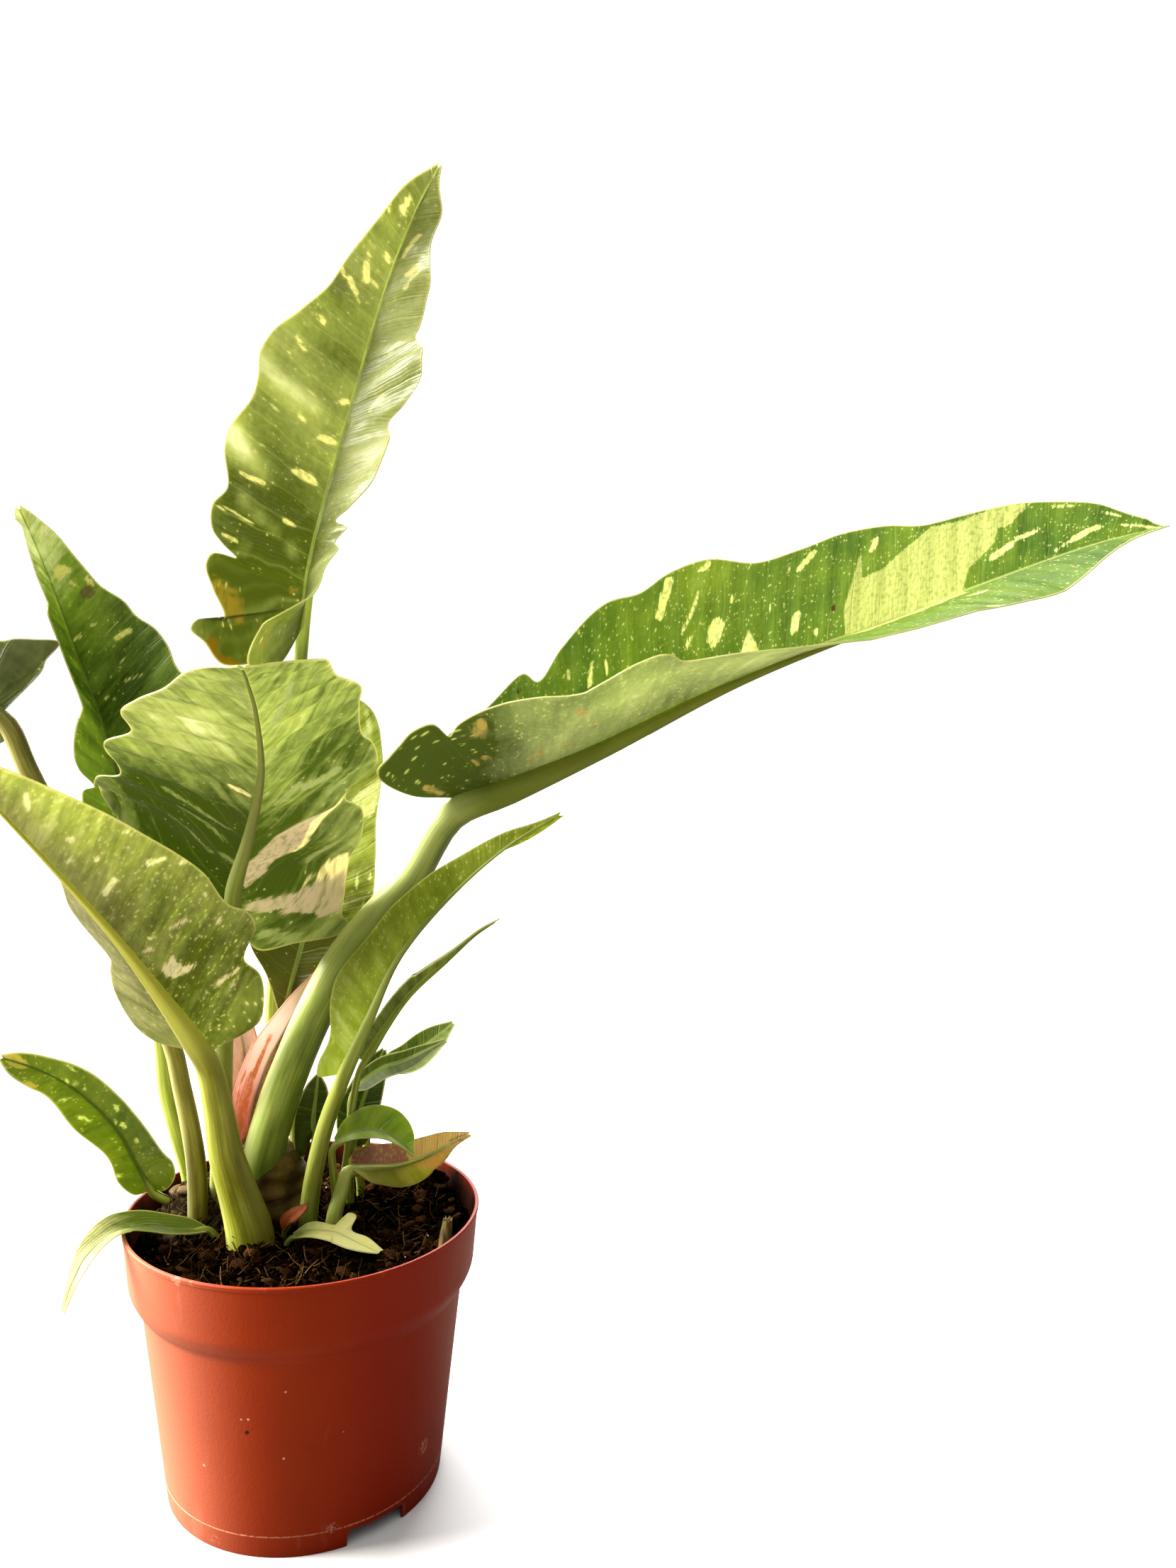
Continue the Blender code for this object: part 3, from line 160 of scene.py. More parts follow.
LEAVES = [
    Leaf(
        name="leaf_tall", slot="leaf_green",
        stem=[(-14, 32, 118, 5.0), (-14, 36, 142, 4.8), (-13, 38, 196, 4.2),
              (-7, 37, 269, 3.7), (-1, 32, 352, 3.2)],
        spine=[(0, 30, 369), (4, 28, 397), (13, 30, 434), (22, 34, 466),
               (33, 40, 505), (42, 42, 533), (52, 40, 557), (61, 34, 574)],
        face=[(-0.2, -1.0, 0.1)],
        left=[(-0.02, 3), (-0.07, 11), (-0.10, 31), (-0.06, 40), (-0.04, 46),
              (-0.02, 44), (-0.01, 33), (0.05, 39), (0.09, 43), (0.11, 41),
              (0.11, 31), (0.13, 38), (0.15, 43), (0.19, 45), (0.23, 41),
              (0.30, 46), (0.34, 46), (0.40, 41), (0.45, 41), (0.51, 43),
              (0.56, 40), (0.61, 32), (0.68, 24), (0.75, 20), (0.84, 14),
              (0.93, 9), (1.0, 1)],
        right=[(-0.02, 3), (-0.09, 14), (-0.09, 30), (-0.02, 39), (0.08, 43), (0.12, 32),
               (0.15, 32), (0.173, 18), (0.2, 24), (0.215, 14), (0.24, 22), (0.286, 31),
               (0.342, 33), (0.391, 29), (0.433, 22), (0.471, 29), (0.52, 37), (0.572, 36),
               (0.596, 30), (0.629, 24), (0.703, 21), (0.759, 21), (0.854, 14), (0.922, 11),
               (0.966, 4), (1, 1)],
        fold_left=[(0.0, 15), (0.2, 12), (0.5, 18), (1.0, 20)],
        fold_right=[(-0.1, 118), (0.0, 98), (0.07, 72), (0.15, 60), (0.3, 41),
                    (0.45, 34), (0.55, 38), (0.65, 25), (1.0, 15)],
        rib=2.6, ripple=(3.0, 4.0, 0.6)),
    Leaf(
        name="leaf_front", slot="leaf_underside",
        stem=[(-37, 25, 96, 4.6), (-37, 24, 118, 4.6), (-36, 20, 139, 4.5),
              (-35, 14, 160, 4.3), (-34, 7, 184, 4.2), (-32, -4, 214, 4.0),
              (-28, -14, 244, 3.8)],
        spine=[(-28, -16, 250), (-25, -30, 271), (-20, -44, 285), (-15, -72, 306),
               (-14, -98, 321), (-14, -128, 333), (-15, -162, 343), (-15, -205, 348)],
        face=[(0.2, 1.0, 0.0), (0.1, 0.8, 0.5), (0.0, 0.4, 0.9), (0.0, 0.1, 1.0)],
        left=[(-0.026, 3), (-0.11, 13), (-0.11, 29), (-0.11, 48), (-0.09, 54),
              (-0.06, 49), (-0.02, 48), (0.12, 49), (0.18, 49), (0.22, 46),
              (0.25, 38), (0.27, 38), (0.30, 45), (0.32, 49), (0.37, 46),
              (0.40, 41), (0.52, 37), (0.60, 36), (0.70, 27), (0.86, 22),
              (0.96, 12), (1.0, 1)],
        right=[(-0.025, 3), (-0.129, 17), (-0.06, 23), (0.064, 36), (0.119, 47), (0.157, 58),
               (0.257, 58), (0.293, 50), (0.457, 52), (0.512, 42), (0.614, 42), (0.683, 35),
               (0.746, 25), (0.93, 10), (1, 1)],
        fold_left=[(0.0, 36), (0.4, 34), (0.6, 25), (1.0, 10)],
        fold_right=[(0.0, 0), (0.3, 2), (1.0, 8)],
        rib=3.2),
    Leaf(
        name="leaf_left", slot="leaf_underside",
        stem=[(-23, -7, 94, 10.2), (-23, -7, 110, 10.0), (-27, -8, 127, 8.4),
              (-32, -11, 147, 7.2), (-35, -15, 170, 6.0), (-38, -20, 188, 5.2)],
        spine=[(-39, -22, 195), (-52, -40, 222), (-67, -62, 252), (-81, -88, 279),
               (-92, -115, 302), (-100, -140, 322)],
        face=[(0.2, 1.0, -0.1), (0.2, 1.0, 0.2), (0.2, 1.0, 0.3)],
        left=[(-0.01, 3), (-0.02, 23), (0.02, 29), (0.10, 34), (0.16, 32),
              (0.18, 34), (0.22, 42), (0.27, 43), (0.31, 39), (0.34, 38),
              (0.42, 38), (0.50, 35), (0.58, 31), (0.68, 26), (0.78, 20),
              (0.88, 13), (0.95, 7), (1.0, 1)],
        right=[(-0.008, 3), (0.0, 12), (0.011, 24), (0.05, 31), (0.144, 33), (0.22, 28),
               (0.27, 22), (0.295, 23), (0.384, 31), (0.48, 28), (0.6, 26), (0.75, 18),
               (0.88, 10), (0.95, 6), (1, 1)],
        fold_left=[(0.0, 22)],
        fold_right=[(0.0, 32), (0.2, 40), (0.4, 47), (0.55, 60), (1.0, 66)],
        rib=4.6),
    Leaf(
        name="leaf_back", slot="leaf_green",
        stem=[(-48, 34, 100, 4.6), (-50, 34, 122, 4.6), (-55, 34, 142, 4.4),
              (-60, 37, 162, 4.2), (-62, 41, 181, 4.0), (-70, 50, 235, 3.5),
              (-77, 57, 268, 3.2)],
        spine=[(-78, 58, 275), (-83, 64, 299), (-92, 74, 330), (-99, 78, 349),
               (-111, 80, 385), (-118, 78, 405), (-124, 74, 422)],
        face=[(-0.2, -1.0, 0.1)],
        left=[(-0.008, 3), (0.02, 10), (0.062, 21), (0.096, 23), (0.124, 22), (0.138, 15),
              (0.182, 23), (0.233, 26), (0.299, 25), (0.362, 20), (0.404, 20), (0.507, 21),
              (0.593, 22), (0.669, 23), (0.709, 17), (0.789, 18), (0.86, 15), (0.93, 9),
              (1, 1)],
        right=[(-0.02, 3), (-0.08, 16), (-0.05, 27), (0.05, 42), (0.15, 50),
               (0.26, 50), (0.35, 48), (0.40, 45), (0.46, 45), (0.54, 42),
               (0.60, 35), (0.65, 32), (0.72, 23), (0.78, 19), (0.83, 16),
               (0.90, 12), (0.96, 6), (1.0, 1)],
        fold_left=[(0.0, 60), (0.2, 72), (0.36, 92), (1.0, 95)],
        fold_right=[(0.0, 15)],
        rib=2.4),
    Leaf(
        name="leaf_long", slot="leaf_green",
        stem=[(-18, 13, 122, 9.0), (-18, 12, 135, 9.0), (-11, 9, 162, 8.6),
              (-5, 6, 179, 8.3), (4, 3, 201, 8.2), (18, 0, 228, 7.8),
              (45, -4, 261, 7.2), (62, -7, 288, 6.8)],
        spine=[(67, -8, 296), (113, -16, 314), (160, -25, 338), (210, -36, 360),
               (244, -44, 373), (285, -53, 390), (331, -60, 407), (364, -65, 416)],
        face=[(-0.1, -0.05, 1.0)],
        left=[(-0.015, 3), (-0.04, 11), (-0.05, 22), (0.0, 29), (0.06, 34), (0.135, 43),
              (0.15, 37), (0.205, 46), (0.283, 55), (0.325, 53), (0.371, 57), (0.425, 57),
              (0.481, 48), (0.538, 48), (0.606, 50), (0.668, 47), (0.712, 41), (0.774, 39),
              (0.846, 36), (0.897, 30), (0.939, 23), (0.962, 14), (1, 1)],
        right=[(-0.02, 3), (-0.06, 11), (-0.086, 24), (-0.086, 30), (-0.064, 35), (-0.045, 39),
               (-0.025, 43), (0.003, 43), (0.015, 35), (0.03, 40), (0.068, 46), (0.143, 51),
               (0.187, 51), (0.228, 55), (0.274, 60), (0.31, 59), (0.325, 50), (0.39, 51),
               (0.46, 50), (0.54, 50), (0.55, 45), (0.61, 43), (0.7, 40), (0.743, 36),
               (0.782, 33), (0.834, 25), (0.89, 14), (0.93, 7), (1, 1)],
        fold_left=[(0.0, 60), (0.15, 68), (0.3, 70), (0.5, 60), (0.75, 48), (1.0, 40)],
        fold_right=[(0.0, 56), (0.1, 45), (0.2, 31), (0.3, 27), (0.35, 21),
                    (0.45, 10), (0.55, 0), (0.68, -6), (0.8, -20), (1.0, -20)],
        rib=6.2),
    Leaf(
        name="leaf_side", slot="leaf_shaded",
        stem=[(-46, 14, 98, 4.4), (-46, 14, 132, 4.3), (-48, 14, 149, 4.2),
              (-52, 15, 170, 4.0), (-56, 17, 188, 3.9), (-77, 22, 229, 4.0),
              (-100, 28, 277, 4.3), (-114, 32, 306, 4.3), (-122, 34, 325, 4.1)],
        spine=[(-124, 34, 330), (-143, 40, 343), (-162, 44, 358), (-181, 46, 375),
               (-200, 45, 396), (-218, 42, 420)],
        face=[(0.2, 1.0, 0.3)],
        left=[(-0.004, 4), (-0.02, 24), (-0.01, 28), (-0.01, 38), (0.06, 33),
              (0.11, 29), (0.16, 24), (0.28, 30),
              (0.42, 33), (0.58, 29), (0.74, 20), (0.89, 9), (1.0, 1)],
        right=[(-0.01, 3), (-0.03, 14), (0.06, 28), (0.22, 36), (0.42, 36),
               (0.62, 28), (0.80, 17), (0.92, 8), (1.0, 1)],
        fold_left=[(0.0, 25)],
        fold_right=[(0.0, 25)],
        rib=2.8),
    Leaf(
        name="leaf_low", slot="leaf_green",
        stem=[(-50, 27, 96, 2.2), (-53, 26, 108, 2.2), (-59, 25, 114, 2.1),
              (-65, 24, 119, 2.0)],
        spine=[(-66, 24, 121), (-72, 22, 134), (-77, 18, 148), (-85, 12, 162),
               (-94, 6, 174), (-105, 0, 184), (-120, -4, 192)],
        face=[(-0.2, -1.0, 0.1), (-0.2, -1.0, 0.4)],
        left=[(0.0, 2), (0.02, 7), (0.113, 10), (0.202, 9), (0.516, 12), (0.76, 8), (0.85, 8),
              (0.93, 6), (1, 1)],
        right=[(-0.008, 2), (-0.02, 6), (0.042, 16), (0.134, 19), (0.333, 14), (0.532, 13),
               (0.702, 11), (0.836, 7), (0.94, 4), (1, 1)],
        fold_left=[(0.0, 25)],
        fold_right=[(0.0, 25)],
        rib=1.6),
    Leaf(
        name="leaf_narrow", slot="leaf_green",
        stem=[(1, 4, 94, 4.3), (1, 4, 108, 4.2), (4, 0, 133, 3.9), (9, -6, 156, 3.6),
              (15, -12, 175, 3.2)],
        spine=[(17, -14, 180), (23, -20, 196), (31, -26, 216), (39, -31, 234),
               (50, -35, 248), (65, -38, 265), (80, -40, 278), (104, -40, 292)],
        face=[(0.2, 1.0, -0.1)],
        left=[(0.0, 2), (0.01, 8), (0.06, 12), (0.17, 17), (0.3, 18), (0.45, 16),
              (0.6, 13), (0.75, 8), (0.88, 4), (1.0, 1)],
        right=[(-0.014, 2), (-0.06, 11), (-0.03, 13), (0.07, 13), (0.17, 19),
               (0.25, 21), (0.40, 16), (0.49, 16), (0.61, 13.5), (0.71, 9.5),
               (0.84, 5.5), (0.92, 2.5), (1.0, 1)],
        fold_left=[(0.0, 100)],
        fold_right=[(0.0, 15)],
        rib=2.6),
    Leaf(
        name="leaf_upright", slot="leaf_young",
        stem=[(-3, 25, 118, 2.8), (-4, 26, 140, 2.8), (-7, 27, 168, 2.7),
              (-9, 27, 189, 2.6)],
        spine=[(-9, 26, 195), (-6, 24, 208), (-1, 22, 227), (4, 20, 249),
               (7, 20, 273), (8, 20, 298), (7, 20, 323), (4, 20, 344)],
        face=[(-0.2, -1.0, 0.1)],
        left=[(0.0, 2), (0.09, 9), (0.13, 13), (0.20, 22), (0.29, 26), (0.51, 32),
              (0.73, 30), (0.90, 20), (0.97, 9), (1.0, 1)],
        right=[(0.0, 2), (0.091, 8), (0.232, 15), (0.308, 17), (0.378, 26), (0.5, 26),
               (0.606, 25), (0.711, 27), (0.787, 28), (0.9, 25), (0.96, 14), (1, 1)],
        fold_left=[(0.0, 40), (0.12, 30), (0.25, 8), (1.0, 8)],
        fold_right=[(0.0, 40), (0.12, 30), (0.25, 8), (1.0, 8)],
        rib=2.0),
    Leaf(
        name="leaf_sliver", slot="leaf_shaded",
        stem=[(14, 18, 96, 1.8), (14, 18, 104, 1.8), (18, 14, 131, 1.7),
              (21, 10, 160, 1.6), (24, 7, 175, 1.5)],
        spine=[(25, 6, 179), (35, 4, 195), (48, 2, 212), (63, 0, 225), (76, -2, 237),
               (84, -4, 242)],
        face=[(-0.7, 0.2, 0.7)],
        left=[(0.0, 2), (0.06, 5), (0.3, 6.5), (0.6, 5), (0.85, 2.5), (1, 1)],
        right=[(0.0, 2), (0.06, 5), (0.3, 6.5), (0.6, 5), (0.85, 2.5), (1, 1)],
        fold_left=[(0.0, 55)],
        fold_right=[(0.0, 55)],
        rib=1.2),
    Leaf(
        name="leaf_right_lower", slot="leaf_shaded",
        stem=[(20, 22, 96, 1.8), (20, 22, 120, 1.8), (20, 21, 145, 1.6),
              (21, 19, 159, 1.5)],
        spine=[(22, 18, 163), (34, 15, 172), (44, 12, 176), (53, 9, 181), (62, 6, 186)],
        face=[(-0.3, -0.8, 0.7)],
        left=[(0.0, 2), (0.1, 4), (0.35, 5), (0.65, 4), (0.88, 2), (1.0, 1)],
        right=[(0.0, 2), (0.1, 5), (0.35, 6), (0.65, 5), (0.88, 2), (1.0, 1)],
        fold_left=[(0.0, 30)],
        fold_right=[(0.0, 10)],
        rib=1.2),
    Leaf(
        name="leaf_right_upper", slot="leaf_green",
        stem=[(28, 42, 96, 1.8), (28, 41, 120, 1.8), (30, 40, 148, 1.6),
              (34, 39, 163, 1.5)],
        spine=[(36, 38, 167), (47, 38, 169), (56, 38, 175), (64, 38, 181), (69, 38, 185)],
        face=[(-0.3, -0.9, 0.6)],
        left=[(0.0, 2), (0.1, 5), (0.4, 7), (0.7, 6), (0.9, 3), (1.0, 1)],
        right=[(0.0, 2), (0.1, 6), (0.4, 9), (0.7, 7), (0.9, 3), (1.0, 1)],
        fold_left=[(0.0, 15)],
        fold_right=[(0.0, 15)],
        rib=1.2),
    Leaf(
        name="leaf_right_dark", slot="leaf_green",
        stem=[(25, 31, 96, 2.0), (25, 30, 112, 2.0), (23, 27, 129, 1.8)],
        spine=[(22, 26, 133), (24, 26, 146), (28, 27, 159), (33, 28, 171), (36, 29, 177)],
        face=[(-0.3, -1.0, 0.0)],
        left=[(0.0, 2), (0.06, 7), (0.3, 10), (0.6, 8), (0.85, 5), (1.0, 1)],
        right=[(0.0, 2), (0.06, 6), (0.3, 9), (0.6, 8), (0.85, 5), (1.0, 1)],
        fold_left=[(0.0, 10)],
        fold_right=[(0.0, 15)],
        rib=1.4),
    Leaf(
        name="leaf_right_round", slot="leaf_young",
        stem=[(14, 8, 96, 2.0), (14, 8, 110, 2.0), (12, 6, 130, 1.8), (12, 4, 141, 1.6)],
        spine=[(13, 3, 144), (21, 2, 148), (32, 4, 147), (41, 7, 141), (48, 10, 133)],
        face=[(0.1, -0.5, 1.0), (0.4, -0.4, 0.9)],
        left=[(0.0, 2), (0.15, 7), (0.4, 12), (0.7, 13), (0.9, 8), (1.0, 1)],
        right=[(0.0, 2), (0.15, 5), (0.4, 7), (0.7, 7), (0.9, 4), (1.0, 1)],
        fold_left=[(0.0, 20)],
        fold_right=[(0.0, 20)],
        rib=1.2),
    Leaf(
        name="leaf_yellowing", slot="leaf_dry",
        stem=[(12, -3, 96, 3.6), (12, -3, 112, 3.4), (15, 0, 122, 3.2), (18, 3, 130, 2.8)],
        spine=[(19, 4, 132), (29, 10, 129), (43, 20, 125), (58, 28, 126), (67, 32, 129),
               (77, 36, 131)],
        face=[(-0.4, -0.3, 1.0), (0.1, -0.9, 1)],
        left=[(0.0, 3), (0.08, 8), (0.3, 11), (0.55, 10), (0.75, 8), (0.9, 4), (1.0, 1)],
        right=[(0.0, 3), (0.08, 6), (0.3, 9), (0.55, 10), (0.7, 7), (0.85, 3), (1.0, 1)],
        fold_left=[(0.0, 45), (0.6, 20), (1.0, 10)],
        fold_right=[(0.0, -10), (0.15, -45), (0.7, -50), (1.0, -5)],
        rib=2.2),
    Leaf(
        name="leaf_behind", slot="leaf_shaded",
        stem=[(4, 20, 96, 1.5), (4, 20, 125, 1.4), (4, 18, 141, 1.3)],
        spine=[(4, 17, 144), (4, 15, 152), (5, 13, 162), (6, 12, 172)],
        face=[(-0.2, -1.0, 0.1)],
        left=[(-0.06, 3), (-0.45, 5), (-0.36, 8), (0.1, 9), (0.45, 8), (0.8, 5), (1.0, 1)],
        right=[(-0.05, 3), (-0.35, 5), (-0.2, 7), (0.1, 7), (0.45, 8), (0.8, 5), (1.0, 1)],
        fold_left=[(0.0, 20)],
        fold_right=[(0.0, 20)],
        rib=1.0),
    Leaf(
        name="leaf_over_rim", slot="leaf_cream",
        stem=[(-35, 4, 98, 1.8), (-38, 4, 106, 1.7), (-41, 4, 109, 1.5)],
        spine=[(-42, 4, 109), (-55, 0, 112.5), (-67, -8, 118), (-76, -18, 121),
               (-83, -28, 118), (-88, -34, 110), (-92, -38, 99)],
        face=[(-0.1, -0.5, 1.0), (-0.3, -0.8, 1.0), (-0.8, -0.9, 0.4)],
        left=[(0.0, 2), (0.08, 4), (0.25, 6), (0.5, 6), (0.75, 4), (0.9, 2), (1.0, 1)],
        right=[(0.0, 2), (0.08, 5), (0.25, 7), (0.5, 8), (0.75, 5), (0.9, 2.5), (1.0, 1)],
        fold_left=[(0.0, 25)],
        fold_right=[(0.0, 15)],
        rib=1.1),
    Leaf(
        name="leaf_on_soil", slot="leaf_cream",
        stem=[(-10, -10, 98, 1.3), (-8, -11, 106, 1.3), (-6, -12, 109, 1.2)],
        spine=[(-5, -12, 110), (2, -15, 113), (11, -19, 113), (20, -24, 111), (31, -30, 108)],
        face=[(-0.1, -0.5, 1.0)],
        left=[(0.0, 1.5), (0.2, 4), (0.45, 4), (0.5, 10), (0.58, 10), (0.6, 4), (0.8, 3.5),
              (1.0, 1)],
        right=[(0.0, 1.5), (0.2, 4), (0.45, 5), (0.7, 5), (0.88, 3), (1.0, 1)],
        fold_left=[(0.0, 15)],
        fold_right=[(0.0, 15)],
        rib=0.9),
    Leaf(
        name="sheath_pink", slot="sheath_pink",
        stem=[(-27, 22, 124, 1.6), (-26, 21, 134, 1.6), (-25, 20, 141, 1.4)],
        spine=[(-24, 19.5, 144), (-22, 19.5, 158), (-15, 18.5, 178), (-4, 16.5, 199),
               (5, 14.5, 213), (12, 12, 225)],
        face=[(0.0, -1.0, 0.1)],
        left=[(-0.02, 3), (-0.12, 5), (-0.06, 9), (0.1, 10), (0.42, 10.5), (0.6, 8),
              (0.78, 5), (0.9, 2.5), (1.0, 1)],
        right=[(-0.02, 3), (-0.13, 6), (-0.04, 8), (0.1, 8), (0.3, 7), (0.5, 5), (0.7, 3),
               (0.88, 1.5), (1.0, 1)],
        fold_left=[(0.0, 20)],
        fold_right=[(0.0, 0)],
        rib=1.0),
    Leaf(
        name="sheath_brown", slot="sheath_brown",
        stem=[(-26, 37, 120, 1.8), (-26, 37, 132, 1.7), (-26, 35, 140, 1.5)],
        spine=[(-26, 34, 143), (-26, 33, 163), (-27, 31, 184), (-31, 28, 204)],
        face=[(0.0, -1.0, 0.1)],
        left=[(0.0, 2), (0.1, 8), (0.4, 10), (0.75, 8), (0.9, 5), (1.0, 1)],
        right=[(0.0, 2), (0.1, 6), (0.4, 7), (0.75, 6), (0.9, 4), (1.0, 1)],
        fold_left=[(0.0, 20)],
        fold_right=[(0.0, 5)],
        rib=1.0),
    Leaf(
        name="bract_red", slot="bract_red",
        stem=[(-9, -1, 96, 1.2), (-9, -2, 107, 1.2)],
        spine=[(-9, -2.5, 109), (-7, -4, 113), (-2, -6, 118), (1, -7, 121)],
        face=[(-0.4, -0.8, 1)],
        left=[(0.0, 1.4), (0.25, 4), (0.6, 3.5), (0.85, 2), (1.0, 1)],
        right=[(0.0, 1.4), (0.25, 4), (0.6, 3.5), (0.85, 2), (1.0, 1)],
        fold_left=[(0.0, 40)],
        fold_right=[(0.0, 40)],
        rib=0.8),
]

# Root stub that stands out of the soil near the rim: x, y, z, radius
ROOT_STUB = [(57, -23, 97, 2.6), (58, -24, 108, 2.5), (59, -24, 117, 2.0)]


@dataclass
class Skin:
    """Look of one leaf. Colours are screen values from 0 to 255.

    Marks lie in the leaf's own flat map: millimetres along the midrib to where the side
    vein starts, and millimetres out along the vein, negative on the left half. A mark is
    a list of corners, or a dash: its two ends and half its width.
    """
    upper: tuple = (92, 122, 30)
    upper_light: tuple = (140, 164, 52)
    under: tuple = (104, 116, 44)
    under_light: tuple = (158, 166, 88)
    vein: tuple = (178, 192, 104)
    rib: tuple = (196, 208, 120)        # line of the midrib on the blade
    keel: tuple = (190, 200, 112)       # midrib's rounded back
    fleck: tuple = (222, 222, 140)
    flecks: float = 0.4         # how densely the fine flecks stand, 0 to 1
    cream: tuple = (232, 230, 150)
    tan: tuple = (196, 172, 112)
    pale: tuple = (196, 204, 120)
    spot: tuple = (92, 66, 26)
    margin: tuple = (226, 222, 160)
    stem: tuple = (148, 160, 42)
    stem_light: tuple = (200, 212, 92)
    stem_dark: tuple = (84, 92, 12)
    flank: tuple = (222, 230, 124)      # painted highlight down the side that faces the light
    painted_lit_side_share: float = 0.6
    shaded: float = 0.6                 # how dark the painted shade on its other side is
    paler: float = 0.0                  # painted light on the stem's lit side, growing towards the blade
    bright: tuple = (246, 246, 212)     # where the blade is palest: its own palest clouds and a painted sheen
    through: float = 0.5        # share of the light that passes through the blade
    roughness: float = 0.42
    quilt: float = 0.5          # height of the swelling between the side veins
    quilt_gap: float = 11.0     # from one swelling to the next
    veined: float = 0.2         # how clearly the side veins show
    uneven: float = 1.0         # how clouded and streaked the blade is
    sweep: tuple = (0.0, 0.0)   # extra forward run of the streaks, and its growth to the tip
    lengthwise: bool = False    # veins run from base to tip
    creams: list = field(default_factory=list)
    tans: list = field(default_factory=list)
    pales: list = field(default_factory=list)
    spots: list = field(default_factory=list)
    light_and_tone_spots: list = field(default_factory=list)   # along, across, spread, how much lighter: painted light and shade, and the leaf's own lighter and darker zones
